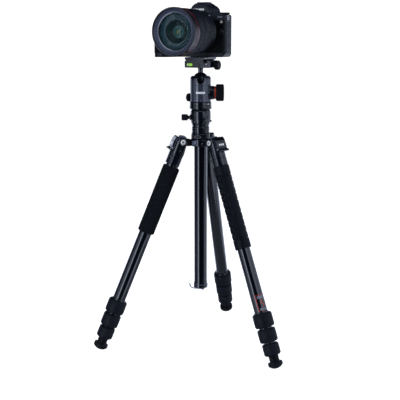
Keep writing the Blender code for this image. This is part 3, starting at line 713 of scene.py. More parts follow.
def rubber_foot(name, place):
    neck, pad, length = 9.3, 13.4, 424
    dome = (pad**2 + 36) / 12
    top = -400.9
    profile = [(0, -405), (7.1, -405), (7.1, top), (neck, top, 0.4)]
    for k in range(3):
        level = top - 1.6 - 2.6 * k
        profile += at(level, (neck, 0, 0.3), (neck - 0.8, -0.5, 0.3), (neck - 0.8, -1.1, 0.3),
                      (neck, -1.6, 0.3))
    profile += [(neck, -410.9, 0.5), (pad - 0.6, -411.4, 0.6), (pad, -412.6, 0.5), (pad, -414.4),
                (pad - 0.5, -414.8), (pad, -415.2), (pad, -417.4)]
    edge = math.degrees(math.asin(pad / dome))
    profile += arc((0, dome - length), dome, edge - 90, -90, 18)[1:-1] + [(0, -length)]
    foot = above_floor(spun(profile), place)
    make(f"{name}_foot_pad", foot, place, "foot", f"{name}_tube_4", [f"{name}_foot"], slot="foot_rubber")


def foam_sleeve(place):
    low, high = levels("foam_grip", place)
    profile = [*at(high.z, (12.5, 0), (14, 0, 0.8), (15.9, -1.6, 1.4)),
               *at(low.z, (15.9, 1.6, 1.4), (14, 0, 0.8), (12.5, 0))]

    def lumps(angle, height, radius):
        if radius < 13:
            return 0
        spot = Vector((math.cos(angle) * 16, math.sin(angle) * 16, height))
        return 0.14 * noise.noise(spot * 0.35) + 0.07 * noise.noise(spot * 1.6)

    sleeve = spun(profile, 160, step=1.1, relief=lumps)
    made = make("foam_sleeve", sleeve, place, "foam", "left_leg", ["foam_grip"], slot="grip_foam")


def rubber_sleeve(place):
    """The moulded sleeve: a row of tread blocks, a long smooth panel and a waved relief, between bands."""
    low, high = levels("rubber_grip", place)
    top_band, low_band = high.z - 17, low.z + 18
    pitch = (top_band - low_band) / 10

    def moulded(angle, height, radius):
        if radius < 12.7 or height > top_band - 0.3 or height < low_band + 0.3:
            return 0
        bearing = (math.degrees(angle) + 360) % 360
        raised = 0
        for middle in (82, 262):
            across = 1 - smoothstep(28, 31, abs(bearing - middle))
            along = abs(((height - low_band) / pitch) % 1 - 0.5)
            raised = max(raised, 2.1 * across * (1 - smoothstep(0.4, 0.45, along)))
        for middle in (-8, 172, 352):
            ends = within(height, low_band + 2, top_band - 2, 2)
            across = 1 - smoothstep(49, 53, abs(bearing - middle))
            centre = 0.5 + 0.5 * math.sin(height * 0.52 + 1.4 * math.sin(height * 0.11) + bearing * 0.03)
            wave = 0.5 * smoothstep(0.5, 0.7, centre) * (1 - smoothstep(34, 40, abs(bearing - middle)))
            wave *= within(height, low_band + 30, top_band - 28, 6)
            raised = max(raised, across * ends * (1.3 + wave))
        return raised

    profile = [(12.5, high.z), (15, high.z, 0.8), (15, top_band, 0.6), (12.8, top_band - 0.4),
               (12.8, low_band + 0.4), (15, low_band, 0.6), (15, low.z, 0.8), (12.5, low.z)]
    sleeve = spun(profile, 240, step=0.55, relief=moulded)
    make("moulded_rubber_sleeve", sleeve, place, "grip", "right_leg", ["rubber_grip"], slot="grip_rubber")


def leg_label(place):
    """A generic printed label: a red frame round grey lines and a plain wave."""
    radius, low, high, left, right = 12.03, -320, -289, -61, 37
    ground = curved_patch(radius, 0.08, left, right, low, high)
    make("label_ground", ground, place, "gloss", "right_leg")
    strips = ((0, 3.4, 0, 31), (94.6, 98, 0, 31), (3.4, 94.6, 0, 0.7), (3.4, 94.6, 30.3, 31))
    border = [curved_patch(radius + 0.08, 0.06, left + a, left + b, low + c, low + d)
              for a, b, c, d in strips]
    wave = [curved_patch(radius + 0.08, 0.06, -17 + 13 * math.sin(k * 0.62), -9 + 13 * math.sin(k * 0.62),
                         -311 + 1.1 * k, -310 + 1.1 * k, 6) for k in range(12)]
    make("label_frame", merged(*border, *wave), place, "orange", "right_leg")
    lines = [curved_patch(radius + 0.08, 0.06, left + 14, left + 14 + wide, low + z, low + z + 1.1)
             for z, wide in ((3, 72), (5.4, 52), (24.6, 58), (27, 72))]
    make("label_lines", merged(*lines), place, "grey", "right_leg")


def make_legs():
    for name in LEGS:
        place = leg_frame(name)
        leg_bracket(name, place)
        hinge_bolt(name, place)
        angle_lever(name, place)
        stop_sector(name, place)
        leg_tubes(name, place)
        twist_locks(name, place)
        rubber_foot(name, place)
    foam_sleeve(leg_frame("left"))
    rubber_sleeve(leg_frame("right"))
    leg_label(leg_frame("right"))


# ---------------------------------------------------------------- tripod: spider, column and hook
VIEW_SIDE = -65
BOSS_OFFSET = 39.6


def arm_frame(name):
    """The hinge's frame with Z upright and X pointing away from the column."""
    spread = JOINTS[f"{name}_leg_spread"]
    y = -Vector(spread["axis"])
    z = Vector((0, 0, 1))
    return basis(Vector(spread["pos_m"]), y.cross(z), y, z)


def at_bearing(degrees, height, place=ROOT):
    """A frame at a height on an upright axis, whose Z points outwards at a bearing."""
    return place @ shift(0, 0, height) @ turn(degrees, "Z") @ ALONG_X


def knob_height(node):
    low, high = levels(node, HEAD)
    return (low.z + high.z) / 2


def spider():
    low, high = levels("spider_casting")
    bottom, neck = low.z, high.z
    deck = neck - 8
    profile = [*at(bottom, (12.85, 0), (17.2, 0, 0.6), (19, 1.6, 0.8), (19, 4.6), (18.5, 5), (18.5, 5.5),
                   (19, 5.9)), (19, deck - 1.4, 0.8), (17.6, deck, 0.6), (14.5, deck, 0.3),
               (14.5, neck, 0.3), (12.85, neck)]
    hub = spun(profile, closed=True)
    make("spider_hub", hub, ROOT, "alloy", "tripod_base", ["spider_casting"], slot="cast_alloy")
    for name in LEGS:
        place = arm_frame(name)
        side = [(-20, -7.6), (-13, -8.4, 2), (-5.4, -8, 2), *arc((0, 0), 7.5, -70, 110, 26), (-8.4, 5.6, 3),
                (-20, 3.2)]
        arm = plate(fillet(side), -6.2, 6.2, "XZ")
        pocket = fillet([(-17.4, -5.4, 1.2), (-8.6, -5.8, 1.2), (-8, 3, 1.2), (-17.4, 1.4, 1.2)], True)
        arm = combined(arm, "DIFFERENCE", plate(pocket, 4.6, 8, "XZ"), plate(pocket, -8, -4.6, "XZ"))
        make(f"{name}_arm", arm, place, "alloy", "tripod_base", slot="cast_alloy", bevel=0.7)
    for name in LEGS:
        outwards = arm_frame(name).to_3x3().col[0]
        spot = at_bearing(math.degrees(math.atan2(outwards.y, outwards.x)) + BOSS_OFFSET, bottom + 7.1)
        boss = spun([(0, 16), (4.9, 16), (4.9, 20.4, 0.7), (4.1, 21.2, 0.4), (0, 21.4)], 48)
        make(f"{name}_hub_boss", boss, spot, "lever", "tripod_base", slot="cast_alloy")
    screw = fillet([(0, 17), (1.7, 17), (1.7, 19.5, 0.3), (0.9, 19.5), (0.9, 18.9), (0, 18.9)])
    screws = [moved(turned(screw, 32), at_bearing(VIEW_SIDE + 12 + 120 * k, bottom + 5.2, Matrix()))
              for k in range(3)]
    make("hub_set_screws", merged(*screws), ROOT, "chrome", "tripod_base", slot="steel_wire")


def twist_collar():
    low, high = levels("column_twist_collar")
    bottom, top = low.z, high.z
    profile = [*at(bottom, (14.95, 0), (16.9, 0, 0.5), (17.5, 0.9, 0.4)),
               *at(top, (17.5, -2.4), (17.1, -2.1), (17.1, -1.6), (17.5, -1.3, 0.4), (16.8, 0, 0.3),
                   (12.85, 0), (12.85, -1.6), (14.95, -1.6))]
    outline = fillet(profile, True)
    collar = turned(densify(outline + outline[:1], 2)[:-1], 240,
                    ribs(40, 0.5, bottom + 1.2, top - 2.6, 0.6, 0.6, beyond=16.6))
    make("twist_collar", collar, ROOT, "alloy", "column_twist_collar", ["column_twist_collar"])


COLUMN_FOOT = levels("ballast_hook")[0].z + 5.2


def column_tube():
    foot, top = COLUMN_FOOT, levels("centre_column")[1].z
    profile = [(10.8, foot + 7), (12.3, foot + 7), (12.3, top), (10.8, top)]
    make("column_tube", turned(profile, 128), ROOT, "tube", "column", ["centre_column"])
    cap = at(foot, (0, 0), (12.3, 0, 0.6), (13.6, 1.3, 0.5), (13.6, 6.4, 0.3), (12.8, 6.9), (12.8, 12),
             (0, 12))
    cap = combined(spun(cap), "DIFFERENCE", slab((-4, -0.9, foot - 3), (4, 0.9, foot + 0.8)))
    make("column_end_cap", cap, ROOT, "gloss", "column")
    ring = fillet(at(foot, (12.5, 6.7), (13.5, 6.7, 0.3), (13.5, 7.6, 0.3), (12.5, 7.6)), True)
    make("column_end_ring", turned(ring, ROUND), ROOT, "lever", "column", slot="steel_wire")
    ears = []
    for side in (1, -1):
        side_outline = fillet(at(foot, (2.9, 1), (2.9, -2.8, 1.6), (5.2, -4.1, 1.6), (7.5, -2.8, 1.6),
                                 (7.5, 1)))
        ears.append(plate(side_outline, side * 3.4 - 1.1, side * 3.4 + 1.1, "XZ"))
    make("hook_ears", merged(*ears), ROOT, "gloss", "column", bevel=0.3)


def ballast_hook():
    """A bent wire that turns up at its free end, with an eye round its pin."""
    foot = COLUMN_FOOT
    route = at(foot, (2.6, -3.4), (-5, -3.7), (-13, -4), (-18.4, -3.6), (-21.6, -1.4), (-22.9, 1.6),
               (-23.2, 4))
    wire = swept(smooth_path([(x, 0, z) for x, z in route], 48), 1.35, 24)
    eye = moved(spun([(1, -1.3, 0.4), (2.7, -1.3, 0.5), (2.7, 1.3, 0.5), (1, 1.3, 0.4)], 48, closed=True),
                shift(5.2, 0, foot - 2.4) @ ALONG_Y)
    pin = moved(spun([(0, -4.9), (0.95, -4.9, 0.3), (0.95, 4.9, 0.3), (0, 4.9)], 24),
                shift(5.2, 0, foot - 2.4) @ ALONG_Y)
    make("wire_hook", merged(wire, eye), ROOT, "wire", "ballast_hook", ["ballast_hook"], slot="steel_wire")
    make("hook_pin", pin, ROOT, "wire", "column", slot="steel_wire")


def leaf(bearing, height, wide, tall, depth):
    """A relief with a leaf-shaped hollow, pointed at its top and bottom."""
    def relief(angle, level, radius):
        across = (math.degrees(angle) - bearing + 180) % 360 - 180
        along = (level - height) / tall
        if abs(along) >= 1:
            return 0
        span = wide * (1 - along * along)
        return -depth * (1 - smoothstep(0.72, 1.08, abs(across) / span))
    return relief


def column_block():
    low, high = levels("column_block")
    bottom, top = low.z, high.z
    profile = [*at(bottom, (12.8, 0), (16, 0, 0.5), (16.4, 0.6, 0.3), (16.4, 2.6), (15.7, 3), (15.7, 3.8),
                   (16.4, 4.2), (16.4, 7.4), (15.8, 7.8), (15.8, 8.4), (16.4, 8.8), (16.4, 11.4, 0.6),
                   (15.3, 12.6, 0.8), (16.1, 15.6, 2), (17.6, 20, 3), (18.7, 25.5, 3), (19, 30, 3),
                   (18.9, 36, 3), (18.5, 40.6, 1)), (17.6, top - 1.6, 0.7), (16.6, top, 0.5), (0, top)]
    leaves = [leaf(bearing, bottom + 29.5, 11.5, 11.5, 1.5) for bearing in (-36, -101, 54, 144)]
    outline = densify(fillet(profile), 0.7)

    def hollows(angle, height, radius):
        return sum(hollow(angle, height, radius) for hollow in leaves) if radius > 15 else 0

    housing = turned(outline + [(0, top - 4), (12.8, top - 4)], 300, hollows)
    make("block_housing", housing, ROOT, "alloy", "column", ["column_block"])
    place = HEAD @ shift(0, 0, knob_height("column_lock_knob")) @ turn(-90, "Y")
    boss = spun([(0, 14), (6.2, 14), (5.2, 19.2, 1), (5, 20.4, 0.4), (0, 20.4)], 64)
    make("lock_knob_boss", boss, place, "alloy", "column")
    shaft = [(0, 20), (3.3, 20.8, 0.3), (3.3, 23.6, 0.3), (5.4, 24.2, 0.8), (5.9, 25.4, 0.5), (5.9, 34, 0.8),
             (5, 35.4, 0.6), (3.2, 35.5), (2.9, 35.1), (0, 35.1)]
    knob = spun(shaft, 180, step=1.2, relief=ribs(9, 1, 24.6, 37, 0.8, 0.5, beyond=4.6))
    make("block_knob", knob, place, "lock", "column_lock_knob", ["column_lock_knob"], slot="knob_rubber")
    spot = at_bearing(25, bottom + 22.6)
    button = spun([(0, 14), (2.1, 14), (2.1, 19, 0.3), (1.4, 19.8, 0.5), (1.4, 20.6, 0.4), (0, 20.6)], 32)
    make("block_stop_screw", button, spot, "gloss", "column")


# ---------------------------------------------------------------- ball head
PAN_KNOB_BEARING = 150


def pan_base():
    low, high = levels("head_pan_base")
    bottom, top = low.z, high.z
    profile = [*at(bottom, (0, 0), (18.6, 0), (20.35, 1.2, 0.6), (20.35, 6.4, 0.4), (19.7, 6.9), (19.7, 7.5),
                   (20.1, 7.9)), (20, top - 0.5, 0.3), (19.5, top), (0, top)]
    make("pan_base", spun(profile, 128), ROOT, "alloy", "column", ["head_pan_base"])
    marks = [curved_patch(20.3, 0.12, b - 0.9, b + 0.9, bottom + 2.4, bottom + 5, 4)
             for b in range(0, 360, 15)]
    make("pan_scale", merged(*marks), ROOT, "cavity", "column")
    dot = spun([(0, 18), (1.1, 18), (1.1, 20.55, 0.3), (0, 20.7)], 24)
    make("pan_index_pin", dot, at_bearing(VIEW_SIDE + 43, bottom + 10.2), "bright", "column",
         slot="steel_wire")


def globe(height, radius, steps=40):
    return turned([(0, height - radius), *arc((0, height), radius, -90, 90, steps)[1:-1],
                   (0, height + radius)], 120)


def notch_outline(ball, half, top):
    return [*arc((0, ball - 0.6), half, 180, 360, 36), (half, top), (-half, top)]


def head_housing():
    low, high = levels("head_body", HEAD)
    bottom, top = low.z, high.z
    ball = JOINTS["ball_tilt"]["pos_m"][2] / MM
    radius, socket = 19.15, 14.6
    rim = math.degrees(math.asin((top - 0.4 - ball) / socket))
    seam = top - 16.1
    profile = [*at(bottom, (0, 0), (radius - 0.5, 0), (radius, 0.5)),
               *at(seam, (radius, -0.5), (radius - 0.45, -0.2), (radius - 0.45, 0.2), (radius, 0.5)),
               (radius, top - 3.6, 3.4), (radius - 2.6, top, 1.4)]
    bowl = arc((0, ball), socket, rim, -90, 40)
    body = turned(fillet(profile) + bowl[:-1] + [(0, ball - socket)], 160)
    notch = notch_outline(ball, 6.8, top + 5)
    boss = moved(spun([(0, 12), (13.4, 12, 0.5), (12.6, 17.6, 1.5), (12.4, 23.8, 0.5), (0, 23.8)]),
                 shift(0, 0, knob_height("ball_lock_knob")) @ ALONG_X)
    side = moved(spun([(0, 12), (8, 12), (7, 19, 0.6), (0, 19)], 64),
                 shift(0, 0, knob_height("pan_lock_knob")) @ turn(PAN_KNOB_BEARING, "Z") @ ALONG_X)
    bore = globe(ball, socket, 60)
    body = combined(body, "UNION", boss, side)
    body = combined(body, "DIFFERENCE", plate(notch, -25, -3, "XZ"), bore)
    make("head_housing", body, HEAD, "alloy", "head", ["head_body"], bevel=0.45, sharp=40)

    liner = plate(notch_outline(ball, 6.75, top - 1.8), -radius + 0.5, -4, "XZ")
    inside = plate(notch_outline(ball, 5.7, top + 6), -30, 0, "XZ")
    shell = turned([(0, bottom), (radius - 0.5, bottom), (radius - 0.5, top), (0, top)], 128)
    liner = combined(liner, "DIFFERENCE", inside, globe(ball, socket + 0.2))
    liner = combined(liner, "INTERSECT", shell)
    make("notch_liner", liner, HEAD, "cavity", "head", bevel=0.15)
    ring = spun(at(top, (socket - 0.1, -4), (socket + 0.9, -4), (socket + 0.2, 0.2, 0.3),
                   (socket - 1.9, 0.4, 0.3)), 160, closed=True)
    ring = combined(ring, "DIFFERENCE", plate(notch, -25, -3, "XZ"), globe(ball, 14.15))
    make("socket_ring", ring, HEAD, "gloss", "head")

    bearings = [b for b in range(30, 336, 30) if b != PAN_KNOB_BEARING]
    ticks = [curved_patch(radius - 0.02, 0.1, b - 1.2, b + 1.2, bottom + 2.4, bottom + 3.9, 3)
             for b in bearings]
    make("head_scale", merged(*ticks), HEAD, "grey", "head")
    spans = ((-20, 5.4), (-8.5, 3.8), (2, 4.6), (12.5, 3.6), (21, 3.2))
    bars = [curved_patch(radius - 0.02, 0.12, middle - half - 90, middle + half - 90, bottom + 15.3,
                         bottom + 18.9, 6) for middle, half in spans]
    make("head_mark", merged(*bars), HEAD, "paint", "head")


def head_knobs():
    place = HEAD @ shift(0, 0, knob_height("ball_lock_knob")) @ ALONG_X
    collar = spun([(0, 23.9), (12.2, 23.9), (12.3, 24.9, 0.3), (11.9, 25.3), (0, 25.3)])
    make("ball_knob_collar", collar, place, "gloss", "ball_lock_knob")
    ring = spun([(0, 25.3), (11.3, 25.3, 0.2), (11.6, 25.9, 0.3), (11.6, 27.8, 0.3), (11.2, 28.4),
                 (0, 28.4)])
    make("ball_knob_ring", ring, place, "orange", "ball_lock_knob")
    outline = [(0, 28.2), (13.6, 28.2, 0.4), (15.6, 30, 0.8), (15.6, 41.4, 1), (14.2, 43, 0.8),
               (11.2, 43.2, 0.3), (10.6, 42.4, 0.3), (0, 42.4)]
    knob = spun(outline, 288, step=1.6, relief=ribs(24, 1, 29.2, 42.6, 1, 0.35, beyond=13.2))
    make("ball_knob_grip", knob, place, "knob", "ball_lock_knob", ["ball_lock_knob"], slot="knob_rubber")
    cap = spun([(0, 42), (9.6, 42), (9.6, 42.9, 0.3), (4, 42.9), (3.6, 42.6), (0, 42.6)], 64)
    make("ball_knob_cap", cap, place, "gloss", "ball_lock_knob")

    place = HEAD @ shift(0, 0, knob_height("pan_lock_knob")) @ turn(PAN_KNOB_BEARING, "Z") @ ALONG_X
    outline = [(0, 19.5), (4.1, 19.5), (4.1, 21.4, 0.3), (7, 21.8, 0.5), (7.7, 22.6, 0.5), (7.7, 26.6, 0.7),
               (6.8, 27.7, 0.5), (4.8, 27.8, 0.2), (4.4, 27.3), (0, 27.3)]
    knob = spun(outline, 224, step=1.2, relief=ribs(16, 0.8, 22, 27.6, 0.6, 0.4, beyond=6.2))
    make("pan_knob", knob, place, "knob", "pan_lock_knob", ["pan_lock_knob"], slot="knob_rubber")


def ball_and_stem():
    ball = JOINTS["ball_tilt"]["pos_m"][2] / MM
    radius, top = 14, levels("ball_stem", HEAD)[1].z
    start = math.degrees(math.acos(5.3 / radius))
    crown = ball + radius * math.sin(math.radians(start))
    round_part = arc((0, ball), radius, -90, start, 60)
    stem = [(4.8, crown + 0.5, 0.4), *at(top, (4.8, -2.2, 0.5), (5.3, -1.4, 0.3), (5.3, 0, 0.2), (0, 0))]
    profile = fillet([(0, ball - radius), *round_part[1:], *stem])
    make("polished_ball", turned(profile, 128), HEAD, "gloss", "ball", ["ball_stem"])


# ---------------------------------------------------------------- clamp and plate
def corner_cuts(x, y, z):
    """What takes off two upright corners, at 45 degrees."""
    return [moved(slab((-6, -6, -30), (6, 6, 60)), shift(x, side * y, z) @ turn(45, "Z"))
            for side in (-1, 1)]


def clamp():
    low, high = levels("clamp_body")
    jaw_low, jaw_high = levels("clamp_jaw")
    bottom, lip, half = low.z, high.z, high.y
    left, right = low.x, jaw_high.x
    floor = bottom + 8.7
    split = (high.x + jaw_low.x) / 2
    lip_face = [(19.2, floor), (19.2, floor + 1), (16.3, lip - 0.4), (17.4, lip)]

    fixed = [*[(-x, z) for x, z in lip_face], (left + 1.4, lip, 0.8), (left, lip - 1.6, 0.8),
             *at(bottom, (left, 1.2, 0.8), (left + 1.2, 0, 0.6), (split - 0.15, 0)), (split - 0.15, floor)]
    body = plate(fillet(fixed, True), -half, half, "XZ")
    vial_spot = shift(-14, -half, bottom + 5.6)
    seat = plate(rect(-6.6, -3.3, 6.6, 3.3, 3.1), -1, 2.4, "XZ")
    body = combined(body, "DIFFERENCE", moved(seat, vial_spot), *corner_cuts(left - 7.2, half + 7.2, bottom))
    make("clamp_fixed_side", body, ROOT, "alloy", "clamp", ["clamp_body"], bevel=0.4, sharp=38)

    capsule = rect(-5.9, -2.7, 5.9, 2.7, 2.6, steps=8)
    vial = plate(capsule, -0.3, 2, "XZ")
    make("level_vial", vial, ROOT @ vial_spot, "vial", "clamp", bevel=0.7)
    bubble = moved(turned([(0, -1.9), *arc((0, 0), 1.9, -75, 75, 14), (0, 1.9)], 40),
                   Matrix.Diagonal((1.5, 0.35, 1, 1)))
    make("level_bubble", bubble, ROOT @ vial_spot @ shift(-3.2, -0.25, 0), "bubble", "clamp")
    lines = [slab((x - 0.18, -0.45, -2.5), (x + 0.18, -0.25, 2.5)) for x in (-5.2, -1.2)]
    make("level_lines", merged(*lines), ROOT @ vial_spot, "gloss", "clamp")

    moving = [*lip_face, (right - 1.4, lip, 0.8), (right, lip - 1.6, 0.8), (right, bottom + 1.2, 0.8),
              (right - 1.2, bottom, 0.6), (split + 0.15, bottom), (split + 0.15, floor)]
    jaw = plate(fillet(moving, True), -half, half, "XZ")
    slot_cut = plate(rect(17, bottom + 6, 22.6, bottom + 8.6, 1), -half - 2, -half + 3.5, "XZ")
    step = slab((split - 1, -half - 3, bottom - 1), (14.4, -half + 1.1, bottom + 20))
    jaw = combined(jaw, "DIFFERENCE", slot_cut, step, *corner_cuts(right + 7, half + 7, bottom))
    make("clamp_moving_jaw", jaw, ROOT, "alloy", "clamp_jaw", ["clamp_jaw"], bevel=0.4, sharp=38)
    screw = moved(spun([(0, -1), (1.35, -1), (1.35, 0.5, 0.3), (0, 0.8)], 32),
                  shift(20, -half + 0.2, bottom + 7.4) @ turn(90, "X"))
    make("jaw_guide_screw", screw, ROOT, "bright", "clamp_jaw", slot="steel_wire")

    place = ROOT @ shift(right, 0, bottom + 4.8) @ ALONG_X
    outline = [(0, 0.3), (4, 0.3), (4, 1.5, 0.3), (7.6, 1.8, 0.4), (8.5, 2.8, 0.5), (8.5, 9.2, 0.6),
               (7.4, 10.3, 0.5), (5.2, 10.4, 0.2), (4.8, 9.9), (0, 9.9)]
    knob = spun(outline, 252, step=1.2, relief=ribs(18, 0.8, 2.4, 10, 0.6, 0.35, beyond=7))
    make("clamp_screw_knob", knob, place, "knob", "clamp_knob", ["clamp_knob"], slot="knob_rubber")


def dovetail_plate():
    low, high = levels("quick_release_plate")
    top, half = high.z, high.y
    floor = low.z
    side = [*at(top, (19.5, 0), (19.5, -3.2, 0.4), (18.7, -3.8), (15.9, -5.9, 0.3), (15.9, -6.3, 0.3),
                (18.8, -9.1, 0.3)), (18.8, floor + 0.4), (18.4, floor)]
    outline = fillet(side + [(-p[0], *p[1:]) for p in reversed(side)], True)
    body = plate(outline, -half, half, "XZ")
    slot_cut = moved(plate(rect(-4, -12, 4, 12, 3.9), -40, 40), shift(0, 0, top - 8))
    grooves = [slab((-30, y - 0.6, top - 1.4), (-13, y + 0.6, top + 1)) for y in (-18, -14, 14, 18)]
    grooves += [slab((13, y - 0.6, top - 1.4), (30, y + 0.6, top + 1)) for y in (-18, -14, 14, 18)]
    body = combined(body, "DIFFERENCE", slot_cut, *grooves)
    make("dovetail_plate", body, ROOT, "alloy", "camera", ["quick_release_plate"], bevel=0.35, sharp=30)
    pad = plate(rect(-18, -25, 18, 25, 2), top - 0.05, top + 0.28)
    pad = combined(pad, "DIFFERENCE", moved(plate(rect(-4.4, -13, 4.4, 13, 4.2), -9, 9), shift(0, 0, top)))
    make("plate_cork_pad", pad, ROOT, "pad", "camera")
    screw = at(top, (0, -8.6), (6.8, -8.6, 0.4), (6.8, -6.4, 0.4), (3.1, -6.2), (3.1, 0.2), (0, 0.2))
    head = combined(spun(screw, 64), "DIFFERENCE", slab((-8, -0.8, top - 10), (8, 0.8, top - 7.6)))
    make("camera_screw", head, ROOT, "chrome", "camera", slot="steel_wire")


# ---------------------------------------------------------------- camera body
FRONT_OUTLINE = [
    (50.5, 20), (50.5, 2, 2), (49.5, -1.5, 2), (46.5, -3, 2), (-37, -3, 4), (-42, -8, 4), (-45.5, -24, 6),
    (-49.5, -38, 6), (-56, -43.5, 6), (-63.5, -45, 6), (-71.4, -43, 5), (-75.8, -37, 5), (-77.3, -28, 6),
    (-77.3, 20),
]
BACK_CORNERS = [(50.5, 25, 3), (48, 30, 3), (43, 32, 4), (-66.5, 32, 5), (-74.3, 29.5, 5), (-77.3, 25, 3)]
RIGHT_END, LEFT_END = 50.5, -77.3
CAMERA = ROOT @ shift(0, 0, levels("camera_front_body")[0].z)
SPLIT_Z = levels("camera_front_body", CAMERA)[1].z
SHOULDER = 77.2
LENS_Z = 45.2
LENS_AXIS = shift(0, 0, LENS_Z) @ turn(90, "X")
LENS = CAMERA @ LENS_AXIS
SPLIT_Y = 20


def camera_piece(name, bm, look, replaces=(), slot="camera_shell", **edges):
    return make(name, bm, CAMERA, look, "camera", replaces, slot, **edges)


def slope_grip(bm):
    """Slopes the grip's top down to its front corner, in two steps."""
    outwards = turn(205, "Z").to_3x3() @ Vector((1, 0, 0))
    for reach, fall in ((74, 24), (77.2, 63)):
        tilt = math.radians(fall)
        normal = outwards * math.sin(tilt) + Vector((0, 0, math.cos(tilt)))
        cut_off(bm, outwards * reach + Vector((0, 0, SHOULDER)), normal)
    return bm


def lower_corner():
    """What the chamfer takes off the shell's lower right corner."""
    return moved(slab((-12, -60, -12), (12, 60, 12)), shift(RIGHT_END + 5.4, 0, -5.4) @ turn(45, "Y"))


def front_body():
    """The front shell: its grip, a leatherette front, a bay for the battery and a throat for the mount."""
    outline = fillet(FRONT_OUTLINE, False, 6)
    shell = plate(outline, 0, SPLIT_Z)
    bay = slab((-73.2, -34.2, -3), (-51.8, 6.2, 60))
    throat = moved(turned([(0, -13), (27.2, -13), (27.2, 12), (0, 12)], 128), LENS_AXIS)
    chamber = slab((-25, 10, LENS_Z - 20), (25, 30, LENS_Z + 20))
    well = moved(turned([(0, 1.4), (4.3, 1.4), (4.3, 8), (0, 8)], 48), shift(42, 0, 0) @ LENS_AXIS)
    shell = slope_grip(combined(shell, "DIFFERENCE", bay, throat, chamber, well, lower_corner()))
    camera_piece("front_shell", shell, "shell", ["camera_front_body"], bevel=0.7, sharp=38)

    path = [Vector(p) for p in [(46, -3)] + [p for p in outline if p[0] < 46 and p[1] < 19]]
    skin = skirt(path, 0.45, 7.5, SPLIT_Z - 1.2)
    throat = moved(turned([(0, -3), (34.2, -3), (34.2, 30), (0, 30)], 128), LENS_AXIS)
    well = moved(turned([(0, -3), (6.2, -3), (6.2, 12), (0, 12)], 48), shift(42, 0, 0) @ LENS_AXIS)
    skin = slope_grip(combined(skin, "DIFFERENCE", throat, well))
    camera_piece("front_leatherette", skin, "skin", bevel=0.2)


def skirt(path, thick, low, high):
    """A sheet that follows a path of points in X and Y on its outer side, between two heights."""
    inner, outer = [], []
    for k, here in enumerate(path):
        ahead = path[min(k + 1, len(path) - 1)] - path[max(k - 1, 0)]
        normal = Vector((ahead.y, -ahead.x)).normalized() * -1
        if normal.dot(here - Vector((-20, 10))) < 0:
            normal = -normal
        inner.append(tuple(here - normal * 0.3))
        outer.append(tuple(here + normal * thick))
    return plate(inner + outer[::-1], low, high)


def port_doors():
    """The side by the strap lug: rubber doors over the sockets, each with a finger tab."""
    edge = RIGHT_END
    doors, tabs = [], []
    front, back = (3.2, 11.6), (12.6, 19.4)
    for (y_low, y_high), z_low, z_high in ((front, 7, 34.5), (front, 35.5, 62), (back, 7, 26),
                                           (back, 27, 46), (back, 47, 62)):
        shape = rect(y_low, z_low, y_high, z_high, 1.6)
        doors.append(plate(shape, edge - 0.8, edge + 0.35, "YZ"))
        tab_z = z_low + 0.7 * (z_high - z_low)
        tab = rect(y_low - 0.2, tab_z - 2, y_low + 1.6, tab_z + 2, 0.8)
        tabs.append(plate(tab, edge, edge + 0.75, "YZ"))
    camera_piece("port_doors", merged(*doors), "doors", bevel=0.3)
    camera_piece("port_door_tabs", merged(*tabs), "shell", bevel=0.2)
    spots = ((8.2, 12), (8.2, 41), (16.4, 11), (16.4, 31), (16.4, 50))
    symbols = [slab((edge, y - 0.9, z), (edge + 0.42, y + 0.9, z + 0.5)) for y, z in spots]
    camera_piece("port_marks", merged(*symbols), "grey")


def strap_lugs():
    """At each end of the shoulder, a cast lug with a slot and a pin for the strap."""
    z = SPLIT_Z + 4.2
    for name, x, side in (("right", RIGHT_END, 1), ("left", LEFT_END, -1)):
        near, far = sorted((x - side, x + side * 1.2))
        hole = plate(rect(4.2, z - 1.6, 9.8, z + 1.8, 1.2), x - 4, x + 4, "YZ")
        lug = plate(rect(1.5, z - 4.6, 12.5, z + 4.8, 1.8, 2.4), near, far, "YZ")
        lug = combined(lug, "DIFFERENCE", hole)
        camera_piece(f"strap_lug_{name}", lug, "gloss", bevel=0.35)
        pin = swept([(x + side * 0.9, 4 + 0.6 * k, z) for k in range(11)], 0.55, 16)
        camera_piece(f"strap_pin_{name}", pin, "chrome", slot="steel_wire")


